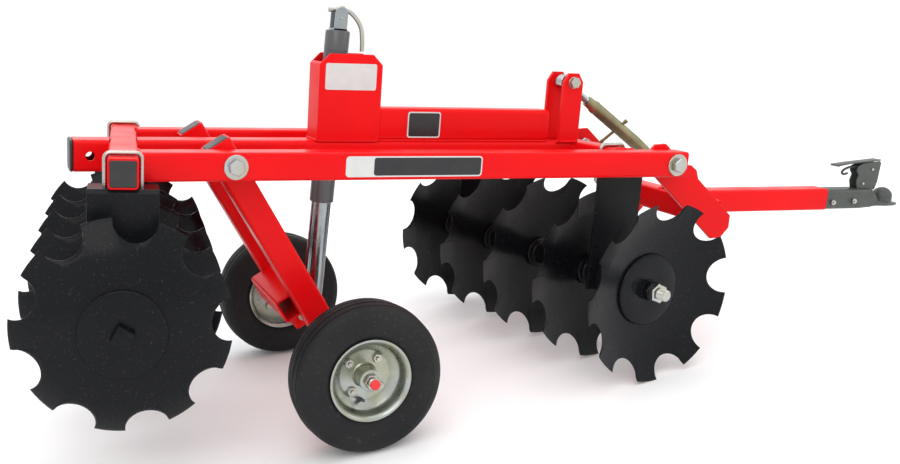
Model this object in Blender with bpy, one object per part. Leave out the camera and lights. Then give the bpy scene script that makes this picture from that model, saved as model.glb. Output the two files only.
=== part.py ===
"""A ten-disc wheeled disc harrow: two angled gangs of notched discs under a tube frame, a lift frame with
two wheels worked by a screw jack, and a tongue levelled by a turnbuckle.

Metres. X runs forward, Y to the machine's left, Z up. The machine is laid out level, with Z = 0 at the
foot of its wheels. It stands nose down on its wheels and its foremost disc, so one empty tilts it all."""

import math

import bmesh
import bpy
from mathutils import Matrix, Vector

GAP = 0.0003

# Frame of square tube
TUBE = 0.0762
TUBE_WALL = 0.0048
SPINE = 0.0889
SPINE_WALL = 0.0064
FRAME_WIDTH = 0.593
RAIL_TOP = 0.799
RAIL_FRONT = 1.183
SPINE_REAR = -0.615
SPINE_HOLE = 0.025
SPINE_HOLE_INSET = 0.045
CAP = 0.010
PLATE = 0.010

# Gangs
DISC = 0.542
DISC_SPACING = 0.248
DISC_COUNT = 5
DISC_THICK = 0.005
DISC_DISH = 0.058
DISC_FLAT = 0.052
NOTCHES = 9
NOTCH = 0.056
AXLE_HEIGHT = 0.3985
AXLE = 0.044
AXLE_CLEARANCE = 0.0012
SPOOL = 0.066
SPOOL_FLANGE = 0.100
BUMPER = 0.218
GANG_NUT = 0.054
GANG_NUT_PAST = 0.058
GANG_THREAD = 0.035
GANG_THREAD_PAST = 0.083
GANG_HEAD_PAST = 0.036
HANGER_WIDTH = 0.175
HANGER_FLANGE = 0.096
BEARING = 0.112
BEARING_LENGTH = 0.064
BEARING_CLEARANCE = 0.0013
HANGER_SPACING = 0.700
U_BOLT = 0.0127
REAR_ANGLE = math.radians(7.65)
FRONT_ANGLE = math.radians(-8.4)
REAR_END = (-0.5275, -0.3957)
REAR_TUBE = 0.790
REAR_RIM_OUTSET = 0.070
FRONT_RIM = (1.0376, -0.4215)
FRONT_HANGER = 0.2037
FRONT_TUBE_PAST = 0.090

# Mast, beam and lugs
MAST_REAR = 0.080
MAST_LENGTH = 0.195
MAST_HEIGHT = 0.252
MAST_WIDTH = 0.0952
MAST_WALL = 0.0075
MAST_CHAMFER = 0.030
BEAM_HEIGHT = 0.097
BEAM_FRONT = 0.849
LUG_REAR = 0.884
LUG_LENGTH = 0.068
LUG_HEIGHT = 0.214
LUG_GAP = 0.078
LUG_THICK = 0.0125
LUG_PIN = 0.0191

# Lift frame and wheels
LIFT_PIVOT = (-0.2222, 0.7609)
LIFT_BOLT = 0.0254
ARM = 0.0762
ARM_ABOVE = 0.058
ARM_CLEARANCE = 0.005
WHEEL_X = 0.122
TYRE = 0.4208
TYRE_WIDTH = 0.124
TRACK = 0.836
RIM = 0.230
RIM_WIDTH = 0.100
SPINDLE = 0.0318
HUB = 0.066
HUB_CLEARANCE = 0.0008
WHEEL_SIDES = 24
CROSS_ALONG = 0.483
CROSS_SETBACK = 0.045
JACK_FOOT = (0.103, 0.302)
JACK_PIN = 0.0254

# Screw jack
JACK_TOP = (0.146, 1.117)
TRUNNION_HEIGHT = 1.008
JACK_OUTER = 0.072
JACK_INNER = 0.060
JACK_WALL = 0.0048
JACK_OUTER_BOTTOM = 0.611
SLOT_CLEARANCE = 0.004
JACK_ENGAGED = 0.225
JACK_EYE_SLACK = 0.005

# Tongue and turnbuckle
TONGUE_PIVOT = (1.1445, 0.7609)
TONGUE_BOLT = 0.0254
TONGUE_TUBE = 0.0762
TONGUE_TOP = 0.632
TONGUE_TUBE_FRONT = 2.005
YOKE_PLATE = 0.0125
YOKE_FOOT = (1.380, 0.560)
TURNBUCKLE_FOOT = (1.400, 0.660)
TURNBUCKLE_BODY = 0.042
TURNBUCKLE_ROD = 0.024
TURNBUCKLE_EYE_SLACK = 0.0018

RED = ("red_paint", (0.80, 0.010, 0.012), 0.30, 0.0)
BLACK = ("black_paint", (0.012, 0.013, 0.015), 0.28, 0.0)
ZINC = ("zinc", (0.62, 0.62, 0.58), 0.32, 1.0)
STEEL = ("dark_steel", (0.10, 0.10, 0.10), 0.40, 1.0)
RUBBER = ("tyre_rubber", (0.022, 0.022, 0.024), 0.75, 0.0)
PLASTIC = ("black_plastic", (0.02, 0.02, 0.02), 0.5, 0.0)
OLIVE = ("olive_plate", (0.16, 0.16, 0.09), 0.42, 0.8)


def clear_scene():
    for obj in list(bpy.data.objects):
        bpy.data.objects.remove(obj, do_unlink=True)


def material(spec):
    name, colour, roughness, metallic = spec
    found = bpy.data.materials.get(name)
    if found:
        return found
    made = bpy.data.materials.new(name)
    made.use_nodes = True
    shader = made.node_tree.nodes["Principled BSDF"]
    shader.inputs["Base Color"].default_value = (*colour, 1)
    shader.inputs["Roughness"].default_value = roughness
    shader.inputs["Metallic"].default_value = metallic
    return made


def empty(name, parent, location, rotation=(0, 0, 0)):
    made = bpy.data.objects.new(name, None)
    made.parent = parent
    made.location = location
    made.rotation_euler = rotation
    bpy.context.collection.objects.link(made)
    return made


def node(name, bm, parent, spec, location=(0, 0, 0), rotation=(0, 0, 0)):
    """A finished object from a bmesh, which this frees."""
    bmesh.ops.recalc_face_normals(bm, faces=bm.faces)
    mesh = bpy.data.meshes.new(name)
    bm.to_mesh(mesh)
    bm.free()
    mesh.shade_smooth()
    mesh.set_sharp_from_angle(angle=math.radians(32))
    mesh.materials.append(material(spec))
    made = bpy.data.objects.new(name, mesh)
    made.parent = parent
    made.location = location
    made.rotation_euler = rotation
    bpy.context.collection.objects.link(made)
    return made


def combine(obj, bm, operation, location=(0, 0, 0), rotation=(0, 0, 0), solver="EXACT"):
    """Adds a Boolean to obj. The bmesh is in the frame of obj's parent, moved by location and rotation."""
    name = f"{obj.name}_{operation.lower()}_{len(obj.modifiers)}"
    tool = node(name, bm, obj.parent, STEEL, location, rotation)
    tool.hide_render = True
    tool.display_type = "WIRE"
    modifier = obj.modifiers.new(operation.title(), "BOOLEAN")
    modifier.operation = operation
    modifier.solver = solver
    modifier.object = tool


def ring(bm, points):
    return [bm.verts.new(p) for p in points]


def bridge(bm, first, second):
    count = len(first)
    for i in range(count):
        j = (i + 1) % count
        bm.faces.new((first[i], first[j], second[j], second[i]))


def rounded_square(width, height, radius, steps=2):
    """Corner points of a rounded rectangle, counter-clockwise from its first quadrant."""
    points = []
    for corner in range(4):
        turn = math.pi / 2 * corner
        sign_u = 1 if corner in (0, 3) else -1
        sign_v = 1 if corner in (0, 1) else -1
        for step in range(steps + 1):
            angle = turn + math.pi / 2 * step / steps
            u = sign_u * (width / 2 - radius) + radius * math.cos(angle)
            v = sign_v * (height / 2 - radius) + radius * math.sin(angle)
            points.append((u, v))
    return points


def square_tube(width, height, wall, start, end):
    """A hollow tube along X. start and end give each end's X for a point's Y, so an end can be mitred."""
    bm = bmesh.new()
    outer = rounded_square(width, height, 2 * wall)
    inner = rounded_square(width - 2 * wall, height - 2 * wall, wall)
    loops = []
    for outline in (outer, inner):
        loops.append(ring(bm, [(start(u), u, v) for u, v in outline]))
        loops.append(ring(bm, [(end(u), u, v) for u, v in outline]))
    bridge(bm, loops[0], loops[1])
    bridge(bm, loops[3], loops[2])
    bridge(bm, loops[2], loops[0])
    bridge(bm, loops[1], loops[3])
    return bm


def square_at(x):
    """A square end at X, for square_tube."""
    return lambda y: x


def solid_bar(width, height, radius, start, end):
    bm = bmesh.new()
    outline = rounded_square(width, height, radius)
    near = ring(bm, [(start, u, v) for u, v in outline])
    far = ring(bm, [(end, u, v) for u, v in outline])
    bridge(bm, near, far)
    bm.faces.new(near)
    bm.faces.new(far)
    return bm


def block(low, high):
    bm = bmesh.new()
    bmesh.ops.create_cube(bm, size=1)
    size = [h - l for l, h in zip(low, high)]
    centre = [(h + l) / 2 for l, h in zip(low, high)]
    bmesh.ops.scale(bm, vec=size, verts=bm.verts)
    bmesh.ops.translate(bm, vec=centre, verts=bm.verts)
    return bm


def lathe(profile, segments=32):
    """Turns (radius, y) points about Y. A profile that starts or ends on the axis closes there."""
    bm = bmesh.new()
    closed = profile[0][0] > 0 or profile[-1][0] > 0
    rings = []
    for radius, y in profile:
        if radius == 0:
            rings.append([bm.verts.new((0, y, 0))])
            continue
        turns = [2 * math.pi * k / segments for k in range(segments)]
        rings.append(ring(bm, [(radius * math.cos(t), y, radius * math.sin(t)) for t in turns]))
    pairs = list(zip(rings, rings[1:]))
    if closed:
        pairs.append((rings[-1], rings[0]))
    for first, second in pairs:
        if len(first) == 1:
            first = first * segments
        if len(second) == 1:
            second = second * segments
        for k in range(segments):
            n = (k + 1) % segments
            corners = []
            for vert in (first[k], first[n], second[n], second[k]):
                if vert not in corners:
                    corners.append(vert)
            bm.faces.new(corners)
    return bm


def rod(diameter, start, end, segments=16):
    """A solid cylinder along Y from start to end."""
    radius = diameter / 2
    return lathe([(0, start), (radius, start), (radius, end), (0, end)], segments)


def eye(diameter, hole, width):
    """A ring about Y, for a pin."""
    outer = diameter / 2
    inner = hole / 2
    half = width / 2
    return lathe([(outer, -half), (outer, half), (inner, half), (inner, -half)], 20)


def hexagon(across, start, end):
    """A hexagonal prism along Y."""
    radius = across / math.sqrt(3)
    return lathe([(0, start), (radius, start), (radius, end), (0, end)], 6)


def plate(outline, y_low, y_high):
    """A flat plate: an (x, z) outline extruded along Y."""
    bm = bmesh.new()
    near = ring(bm, [(x, y_low, z) for x, z in outline])
    far = ring(bm, [(x, y_high, z) for x, z in outline])
    bridge(bm, near, far)
    bm.faces.new(near)
    bm.faces.new(far)
    return bm


def along_x(outline, x_low, x_high):
    """A (y, z) outline extruded along X."""
    bm = bmesh.new()
    near = ring(bm, [(x_low, y, z) for y, z in outline])
    far = ring(bm, [(x_high, y, z) for y, z in outline])
    bridge(bm, near, far)
    bm.faces.new(near)
    bm.faces.new(far)
    return bm


def arc(centre, radius, start, end, steps):
    """(x, z) points on an arc, angles in degrees from +X towards +Z."""
    points = []
    for step in range(steps + 1):
        angle = math.radians(start + (end - start) * step / steps)
        points.append((centre[0] + radius * math.cos(angle), centre[1] + radius * math.sin(angle)))
    return points


def joined(*shapes):
    """One bmesh that holds several closed shapes, for use as a cutter of separate holes."""
    bm = bmesh.new()
    for shape in shapes:
        mesh = bpy.data.meshes.new("hole")
        shape.to_mesh(mesh)
        shape.free()
        bm.from_mesh(mesh)
        bpy.data.meshes.remove(mesh)
    return bm


def moved(bm, vec):
    bmesh.ops.translate(bm, vec=vec, verts=bm.verts)
    return bm


def turned(bm, angle, axis):
    bmesh.ops.rotate(bm, cent=(0, 0, 0), matrix=Matrix.Rotation(angle, 3, axis), verts=bm.verts)
    return bm


def across(angle):
    """Unit vector along a gang's axle."""
    return Vector((math.sin(angle), math.cos(angle), 0))


def face_of_tube(point, angle, side):
    """X of a gang tube's front (+1) or rear (-1) face, less the gap, as a function of Y."""
    def x_at(y):
        offset = side * (TUBE / 2 + GAP)
        return point[0] + (offset + (y - point[1]) * math.sin(angle)) / math.cos(angle)
    return x_at


def front_hanger_point():
    place = Vector((*FRONT_RIM, 0)) + across(FRONT_ANGLE) * FRONT_HANGER
    return (place.x, place.y)


def frame(stance):
    rail_y = FRAME_WIDTH / 2 - TUBE / 2
    rail_z = RAIL_TOP - TUBE / 2
    rear_face = face_of_tube(REAR_END, REAR_ANGLE, 1)
    front_point = front_hanger_point()
    front_rear_face = face_of_tube(front_point, FRONT_ANGLE, -1)
    front_front_face = face_of_tube(front_point, FRONT_ANGLE, 1)

    def shifted(x_at, y_offset):
        return lambda y: x_at(y + y_offset)

    def rail(name, y, start, end):
        bm = square_tube(TUBE, TUBE, TUBE_WALL, start, end)
        return node(name, bm, stance, RED, (0, y, rail_z))

    right = rail("right_rail", -rail_y, shifted(rear_face, -rail_y), square_at(RAIL_FRONT))
    left = rail("left_rail", rail_y, shifted(rear_face, rail_y), shifted(front_rear_face, rail_y))
    stub = rail("left_rail_front", rail_y, shifted(front_front_face, rail_y), square_at(RAIL_FRONT))
    for obj, y in ((right, -rail_y), (left, rail_y)):
        bolt_hole = rod(LIFT_BOLT + 2 * GAP, y - TUBE, y + TUBE)
        combine(obj, bolt_hole, "DIFFERENCE", (LIFT_PIVOT[0], 0, LIFT_PIVOT[1]))
    for obj, y in ((right, -rail_y), (stub, rail_y)):
        bolt_hole = rod(TONGUE_BOLT + 2 * GAP, y - TUBE, y + TUBE)
        combine(obj, bolt_hole, "DIFFERENCE", (TONGUE_PIVOT[0], 0, TONGUE_PIVOT[1]))

    # The spine: notched where the rear gang tube lies in it, slotted under the mast for the jack
    spine_z = RAIL_TOP - SPINE / 2
    bm = square_tube(SPINE, SPINE, SPINE_WALL, square_at(SPINE_REAR), front_rear_face)
    spine = node("spine", bm, stance, RED, (0, 0, spine_z))
    notch = TUBE + 2 * GAP
    bm = block((-notch / 2, -SPINE, -notch / 2), (notch / 2, SPINE, notch))
    crossing = rear_axis_point(0)
    combine(spine, bm, "DIFFERENCE", (crossing.x, 0, RAIL_TOP - TUBE / 2), (0, 0, -REAR_ANGLE))
    slot_half = JACK_OUTER / 2 + SLOT_CLEARANCE
    slot_front = MAST_REAR + MAST_LENGTH - MAST_WALL
    bm = block((MAST_REAR, -slot_half, RAIL_TOP - 2 * SPINE), (slot_front, slot_half, RAIL_TOP + SPINE))
    combine(spine, bm, "DIFFERENCE")
    longer = slot_front + SPINE_WALL + 0.014
    low = RAIL_TOP - 2 * SPINE
    bm = block((slot_front - 0.02, -slot_half, low), (longer, slot_half, RAIL_TOP - 0.6 * SPINE))
    combine(spine, bm, "DIFFERENCE")
    bm = rod(SPINE_HOLE, -SPINE, SPINE)
    combine(spine, bm, "DIFFERENCE", (SPINE_REAR + SPINE_HOLE_INSET, 0, spine_z))
    bm = solid_bar(SPINE, SPINE, 2 * SPINE_WALL, SPINE_REAR - GAP - CAP, SPINE_REAR - GAP)
    cap = node("spine_cap", bm, stance, PLASTIC, (0, 0, spine_z))
    inside = SPINE - 2 * SPINE_WALL - 2 * GAP
    bm = solid_bar(inside, inside, SPINE_WALL, SPINE_REAR - CAP, SPINE_REAR + CAP)
    combine(cap, bm, "UNION", (0, 0, spine_z))

    # Gang tubes lie along local X of an object turned by the gang's angle
    turn = math.pi / 2
    bm = square_tube(TUBE, TUBE, TUBE_WALL, square_at(0), square_at(REAR_TUBE))
    node("rear_gang_tube", bm, stance, RED, (*REAR_END, rail_z), (0, 0, turn - REAR_ANGLE))
    near_y = -(FRAME_WIDTH / 2 - TUBE - GAP)
    length = HANGER_SPACING + FRONT_TUBE_PAST

    def inner_end(u):
        """The near end lies flat against the right rail. Local +Y points to the machine's rear."""
        drop = (near_y - front_point[1]) / math.cos(FRONT_ANGLE)
        return drop - u * math.tan(FRONT_ANGLE)

    bm = square_tube(TUBE, TUBE, TUBE_WALL, inner_end, square_at(length))
    node("front_gang_tube", bm, stance, RED, (*front_point, rail_z), (0, 0, turn - FRONT_ANGLE))
    mast_and_lugs(stance)
    bolts(stance)


def rear_axis_point(y):
    """Centre of the rear gang tube at a given Y."""
    way = across(REAR_ANGLE)
    s = (y - REAR_END[1]) / way.y
    return Vector((REAR_END[0] + way.x * s, y, 0))


def mast_and_lugs(stance):
    top = RAIL_TOP + MAST_HEIGHT
    base = RAIL_TOP + GAP
    front = MAST_REAR + MAST_LENGTH
    outline = [
        (MAST_REAR, base),
        (front, base),
        (front, top - MAST_CHAMFER),
        (front - MAST_CHAMFER, top),
        (MAST_REAR + MAST_CHAMFER, top),
        (MAST_REAR, top - MAST_CHAMFER),
    ]
    mast = node("mast", plate(outline, -MAST_WIDTH / 2, MAST_WIDTH / 2), stance, RED)
    # The box is open at its foot and its top, so that the jack can swing in it
    half = MAST_WIDTH / 2 - MAST_WALL
    bm = block((MAST_REAR + MAST_WALL, -half, base - 0.1), (front - MAST_WALL, half, top + 0.1))
    combine(mast, bm, "DIFFERENCE")
    hole = rod(LUG_PIN + 0.0014, -MAST_WIDTH, MAST_WIDTH)
    combine(mast, hole, "DIFFERENCE", (jack_x(TRUNNION_HEIGHT), 0, TRUNNION_HEIGHT))

    bm = square_tube(TUBE, BEAM_HEIGHT - GAP, SPINE_WALL, square_at(front + GAP), square_at(BEAM_FRONT))
    node("top_beam", bm, stance, RED, (0, 0, base + (BEAM_HEIGHT - GAP) / 2))

    lug_top = RAIL_TOP + LUG_HEIGHT
    lug_front = LUG_REAR + LUG_LENGTH
    chamfer = LUG_LENGTH / 4
    outline = [
        (LUG_REAR, base),
        (lug_front, base),
        (lug_front, lug_top - 1.6 * chamfer),
        (lug_front - chamfer, lug_top),
        (LUG_REAR + chamfer, lug_top),
        (LUG_REAR, lug_top - 1.6 * chamfer),
    ]
    pin_x, pin_z = lug_pin()
    for name, side in (("right_lug", -1), ("left_lug", 1)):
        low, high = sorted((side * LUG_GAP / 2, side * (LUG_GAP / 2 + LUG_THICK)))
        lug = node(name, plate(outline, low, high), stance, RED)
        hole = rod(LUG_PIN + 2 * GAP, -LUG_GAP, LUG_GAP)
        combine(lug, hole, "DIFFERENCE", (pin_x, 0, pin_z))
    outside = LUG_GAP / 2 + LUG_THICK + GAP
    pin = node("lug_pin", rod(LUG_PIN, -outside - 0.004, outside + 0.018), stance, ZINC, (pin_x, 0, pin_z))
    combine(pin, hexagon(0.029, -outside - 0.014, -outside), "UNION", (pin_x, 0, pin_z))
    combine(pin, hexagon(0.029, outside, outside + 0.014), "UNION", (pin_x, 0, pin_z))


def lug_pin():
    return (LUG_REAR + LUG_LENGTH / 2, RAIL_TOP + LUG_HEIGHT - 0.029)


def through_bolt(name, stance, place, diameter, side, y_in, y_out):
    """A bolt across Y: its head and washer outside the rail, its nut inside. y_in and y_out are distances
    from the middle of the machine."""
    head = y_out + GAP
    bm = rod(diameter, *sorted((side * (y_in - 0.022), side * (head + 0.006))))
    at = (place[0], 0, place[1])
    bolt = node(name, bm, stance, ZINC, at)
    washer = 0.0036
    combine(bolt, rod(0.066, *sorted((side * head, side * (head + washer)))), "UNION", at)
    across_flats = 1.5 * diameter
    bm = hexagon(across_flats, *sorted((side * (head + washer / 2), side * (head + 0.019))))
    combine(bolt, bm, "UNION", at)
    bm = hexagon(across_flats, *sorted((side * (y_in - GAP), side * (y_in - 0.017))))
    combine(bolt, bm, "UNION", at)


def bolts(stance):
    outer = FRAME_WIDTH / 2
    arm_inner = outer - TUBE - ARM_CLEARANCE - ARM
    yoke_inner = outer - TUBE - GAP - YOKE_PLATE
    for name, side in (("right", -1), ("left", 1)):
        through_bolt(f"{name}_lift_bolt", stance, LIFT_PIVOT, LIFT_BOLT, side, arm_inner - GAP, outer)
        through_bolt(f"{name}_tongue_bolt", stance, TONGUE_PIVOT, TONGUE_BOLT, side, yoke_inner - 0.003, outer)


def hanger(name, stance, point, angle):
    """A plate hung from the gang tube by a flange and a U-bolt, with the axle's bearing at its foot. Local Y
    runs along the axle, from the plate's outer face inwards."""
    drop = RAIL_TOP - TUBE - GAP
    at = (*point, 0)
    turn = (0, 0, -angle)
    half = HANGER_WIDTH / 2
    low = AXLE_HEIGHT - 0.31 * BEARING
    angle_section = [
        (0, low),
        (PLATE, low),
        (PLATE, drop - PLATE),
        (HANGER_FLANGE, drop - PLATE),
        (HANGER_FLANGE, drop),
        (PLATE, drop),
        (0, drop - PLATE),
    ]
    obj = node(name, along_x(angle_section, -half, half), stance, BLACK, at, turn)
    boss = BEARING_LENGTH / 2
    centre = Vector((*point, AXLE_HEIGHT))
    combine(obj, rod(BEARING, PLATE / 2 - boss, PLATE / 2 + boss, 18), "UNION", centre, turn, "MANIFOLD")
    bore = SPOOL + 2 * BEARING_CLEARANCE
    combine(obj, rod(bore, -boss - 0.02, boss + 0.04, 18), "DIFFERENCE", centre, turn, "MANIFOLD")
    leg = TUBE / 2 + GAP + U_BOLT / 2
    seat = HANGER_FLANGE / 2 + 0.004
    hole = U_BOLT + 2 * GAP
    holes = joined(*(upright(hole, x, seat, drop - 0.03, drop + 0.02) for x in (-leg, leg)))
    combine(obj, holes, "DIFFERENCE", at, turn, "MANIFOLD")
    u_bolt(f"{name}_u_bolt", stance, at, turn, leg, seat, drop)


def upright(diameter, x, y, low, high, segments=12):
    bm = rod(diameter, low, high, segments)
    turned(bm, math.pi / 2, "X")
    return moved(bm, (x, y, 0))


def u_bolt(name, stance, at, turn, leg, seat, drop):
    """A round rod bent over the tube, its threaded legs through the flange with a nut under each."""
    top = RAIL_TOP + GAP + U_BOLT / 2
    bend = 0.014
    foot = drop - PLATE - 0.026
    route = [(-leg, foot), (-leg, top - bend)]
    route += arc((-leg + bend, top - bend), bend, 180, 90, 4)[1:]
    route += arc((leg - bend, top - bend), bend, 90, 0, 4)
    route += [(leg, foot)]
    bm = bmesh.new()
    sides = 8
    rings = []
    for i, (x, z) in enumerate(route):
        before = Vector(route[max(i - 1, 0)])
        after = Vector(route[min(i + 1, len(route) - 1)])
        way = (after - before).normalized()
        normal = Vector((-way.y, way.x))
        points = []
        for k in range(sides):
            t = 2 * math.pi * k / sides
            side = math.cos(t) * U_BOLT / 2
            points.append((x + normal.x * side, seat + math.sin(t) * U_BOLT / 2, z + normal.y * side))
        rings.append(ring(bm, points))
    for first, second in zip(rings, rings[1:]):
        bridge(bm, first, second)
    bm.faces.new(rings[0])
    bm.faces.new(rings[-1])
    obj = node(name, bm, stance, ZINC, at, turn)
    for x in (-leg, leg):
        nut = hexagon(0.020, foot + 0.006, drop - PLATE - GAP)
        turned(nut, math.pi / 2, "X")
        combine(obj, moved(nut, (x, seat, 0)), "UNION", at, turn)


def dish(radius, sense):
    """How far the disc's surface stands along the axle at a radius: flat in the middle, then a sphere.
    sense is +1 where the rim stands further along +Y than the middle."""
    span = DISC / 2 - DISC_FLAT
    sphere = (span * span + DISC_DISH * DISC_DISH) / (2 * DISC_DISH)
    out = max(radius - DISC_FLAT, 0)
    return sense * (sphere - math.sqrt(sphere * sphere - out * out))


def notched_outline():
    """(x, z) points of the rim: an arc between notches, and each notch a round bite."""
    radius = DISC / 2
    step = 2 * math.pi / NOTCHES
    half = 2 * math.asin(NOTCH / (2 * radius))
    points = []
    for k in range(NOTCHES):
        middle = step * k
        start = middle + half
        end = middle + step - half
        for i in range(3):
            t = start + (end - start) * i / 2
            points.append((radius * math.cos(t), radius * math.sin(t)))
        centre = Vector((radius * math.cos(middle + step), radius * math.sin(middle + step)))
        first = Vector(points[-1]) - centre
        opening = math.pi - 2 * math.asin(NOTCH / (2 * radius))
        for i in range(1, 5):
            bite = Matrix.Rotation(-opening * i / 5, 2) @ first
            points.append(tuple(centre + bite))
    return points


def fan_out(bm, inner, outer):
    """Bridges a ring to one with three times its points."""
    for i, here in enumerate(inner):
        following = inner[(i + 1) % len(inner)]
        near = [outer[(3 * i + k) % len(outer)] for k in range(4)]
        bm.faces.new((here, near[0], near[1]))
        bm.faces.new((here, near[1], near[2], following))
        bm.faces.new((following, near[2], near[3]))


def disc_mesh(sense):
    bm = bmesh.new()
    outline = notched_outline()
    hole = AXLE / 2 + AXLE_CLEARANCE
    middle = (BUMPER + DISC) / 4
    sides = []
    for side in (-0.5, 0.5):
        rows = []
        sparse = outline[::3]
        for points, radius in (
            (sparse, hole),
            (sparse, DISC_FLAT),
            (sparse, BUMPER / 2),
            (outline, middle),
            (outline, None),
        ):
            row = []
            for x, z in points:
                full = math.hypot(x, z)
                at = full if radius is None else radius
                row.append((x / full * at, dish(at, sense) + side * DISC_THICK, z / full * at))
            rows.append(ring(bm, row))
        bridge(bm, rows[0], rows[1])
        bridge(bm, rows[1], rows[2])
        fan_out(bm, rows[2], rows[3])
        bridge(bm, rows[3], rows[4])
        sides.append(rows)
    bridge(bm, sides[0][0], sides[1][0])
    bridge(bm, sides[0][-1], sides[1][-1])
    return bm


def gang(name, stance, point, angle, sense, first_middle, phase):
    """The axle with its spools, and its discs. Local Y runs along the axle from the hanger at point.
    first_middle is where the first disc's middle sits."""
    axis = empty(f"{name}_axis", stance, (*point, AXLE_HEIGHT), (0, 0, -angle))
    middles = [first_middle + DISC_SPACING * k for k in range(DISC_COUNT)]
    for k, y in enumerate(middles):
        bm = disc_mesh(sense)
        turned(bm, phase, "Y")
        node(f"{name}_disc_{k + 1}", bm, axis, BLACK, (0, y, 0))

    # The turned axle: end plate, spools waisted between the discs, end plate
    half = DISC_THICK / 2 + GAP
    inside = AXLE / 2
    flange = SPOOL_FLANGE / 2
    spool = SPOOL / 2
    past = {way: GANG_THREAD_PAST if way == sense else GANG_HEAD_PAST for way in (-1, 1)}
    profile = [(0, middles[0] - half - past[-1])]
    profile += [(GANG_THREAD / 2, middles[0] - half - past[-1]), (GANG_THREAD / 2, middles[0] - half - 0.010)]
    profile += end_plate(middles[0] - half, -1, sense)
    for here, there in zip(middles, middles[1:]):
        profile += [(inside, here - half), (inside, here + half)]
        profile += [(flange, here + half), (flange, here + half + 0.014)]
        profile += [(spool, here + half + 0.026), (spool, there - half - 0.026)]
        profile += [(flange, there - half - 0.014), (flange, there - half)]
    profile += [(inside, middles[-1] - half), (inside, middles[-1] + half)]
    profile += end_plate(middles[-1] + half, 1, sense)[::-1]
    profile += [(GANG_THREAD / 2, middles[-1] + half + 0.010), (GANG_THREAD / 2, middles[-1] + half + past[1])]
    profile += [(0, middles[-1] + half + past[1])]
    axle = node(f"{name}_axle", lathe(profile, 14), axis, BLACK)
    for y, way in ((middles[0] - half, -1), (middles[-1] + half, 1)):
        reach = GANG_NUT_PAST if way == sense else GANG_HEAD_PAST - 0.002
        low, high = sorted((y + way * 0.006, y + way * reach))
        combine(axle, hexagon(GANG_NUT, low, high), "UNION")


def end_plate(y, way, sense):
    """Profile of the plate that clamps an end disc: flat on a disc's bulging side, and crowned to fit the
    hollow side. It is listed from the outer side in."""
    radius = BUMPER / 2
    if way == sense:
        rise = abs(dish(radius, 1))
        return [(radius * 0.96, y + way * (rise + 0.010)), (radius, y + way * (rise + 0.007)),
                (radius, y + way * (rise + 0.0015)), (DISC_FLAT, y)]
    return [(radius * 0.96, y + way * 0.010), (radius, y + way * 0.007), (radius, y)]


def jack_lean():
    """Angle of the jack from the vertical, top forward."""
    return math.atan2(JACK_TOP[0] - JACK_FOOT[0], JACK_TOP[1] - JACK_FOOT[1])


def jack_x(z):
    return JACK_FOOT[0] + (z - JACK_FOOT[1]) * math.tan(jack_lean())


def arm_angle():
    """How far the lift arms point below the horizontal."""
    return math.atan2(LIFT_PIVOT[1] - TYRE / 2, WHEEL_X - LIFT_PIVOT[0])


def lift_frame(stance):
    """Arms, cross tube and spindles. Local X runs from the pivot along the arms to the wheel axle."""
    axis = empty("lift_axis", stance, (LIFT_PIVOT[0], 0, LIFT_PIVOT[1]), (0, arm_angle(), 0))
    reach = math.hypot(WHEEL_X - LIFT_PIVOT[0], LIFT_PIVOT[1] - TYRE / 2)
    arm_y = FRAME_WIDTH / 2 - TUBE - ARM_CLEARANCE - ARM / 2

    for name, side in (("right", -1), ("left", 1)):
        bm = square_tube(ARM, ARM, TUBE_WALL, square_at(-ARM_ABOVE), square_at(reach + 0.034))
        arm = node(f"{name}_arm", bm, axis, RED, (0, side * arm_y, 0))
        hole = rod(LIFT_BOLT + 2 * GAP, *sorted((side * (arm_y - ARM), side * (arm_y + ARM))))
        combine(arm, hole, "DIFFERENCE")
        hole = rod(SPINDLE + 2 * GAP, *sorted((side * (arm_y - ARM), side * (arm_y + ARM))))
        combine(arm, hole, "DIFFERENCE", (reach, 0, 0))
        wheel(name, axis, side, reach, arm_y)

    # The cross tube lies between the arms, set back behind their centrelines
    length = 2 * (arm_y - ARM / 2 - GAP)
    bm = square_tube(TUBE, TUBE, TUBE_WALL, square_at(-length / 2), square_at(length / 2))
    turned(bm, math.pi / 2, "Z")
    centre = (CROSS_ALONG, 0, -CROSS_SETBACK)
    cross = node("cross_tube", bm, axis, RED, centre)
    foot = to_arm(JACK_FOOT)
    lug = 0.012
    gap = JACK_INNER / 2 + 0.004
    near = centre[2] + TUBE / 2 - 0.002
    outline = [(CROSS_ALONG - 0.036, near), (CROSS_ALONG + 0.036, near)]
    outline += arc(foot, 0.030, -20, 160, 6)
    for side in (-1, 1):
        bm = plate(outline, *sorted((side * gap, side * (gap + lug))))
        combine(cross, bm, "UNION")
    hole = rod(JACK_PIN + 2 * GAP, -gap - 0.1, gap + 0.1)
    combine(cross, hole, "DIFFERENCE", (foot[0], 0, foot[1]))
    outside = gap + lug
    bm = rod(JACK_PIN, -outside - 0.012, outside + 0.012)
    node("jack_foot_pin", bm, axis, ZINC, (foot[0], 0, foot[1]))
    return axis


def to_arm(point):
    """An (x, z) point of the level machine in the lift frame's local (x, z)."""
    angle = arm_angle()
    dx = point[0] - LIFT_PIVOT[0]
    dz = point[1] - LIFT_PIVOT[1]
    return (dx * math.cos(angle) - dz * math.sin(angle), dx * math.sin(angle) + dz * math.cos(angle))


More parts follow.
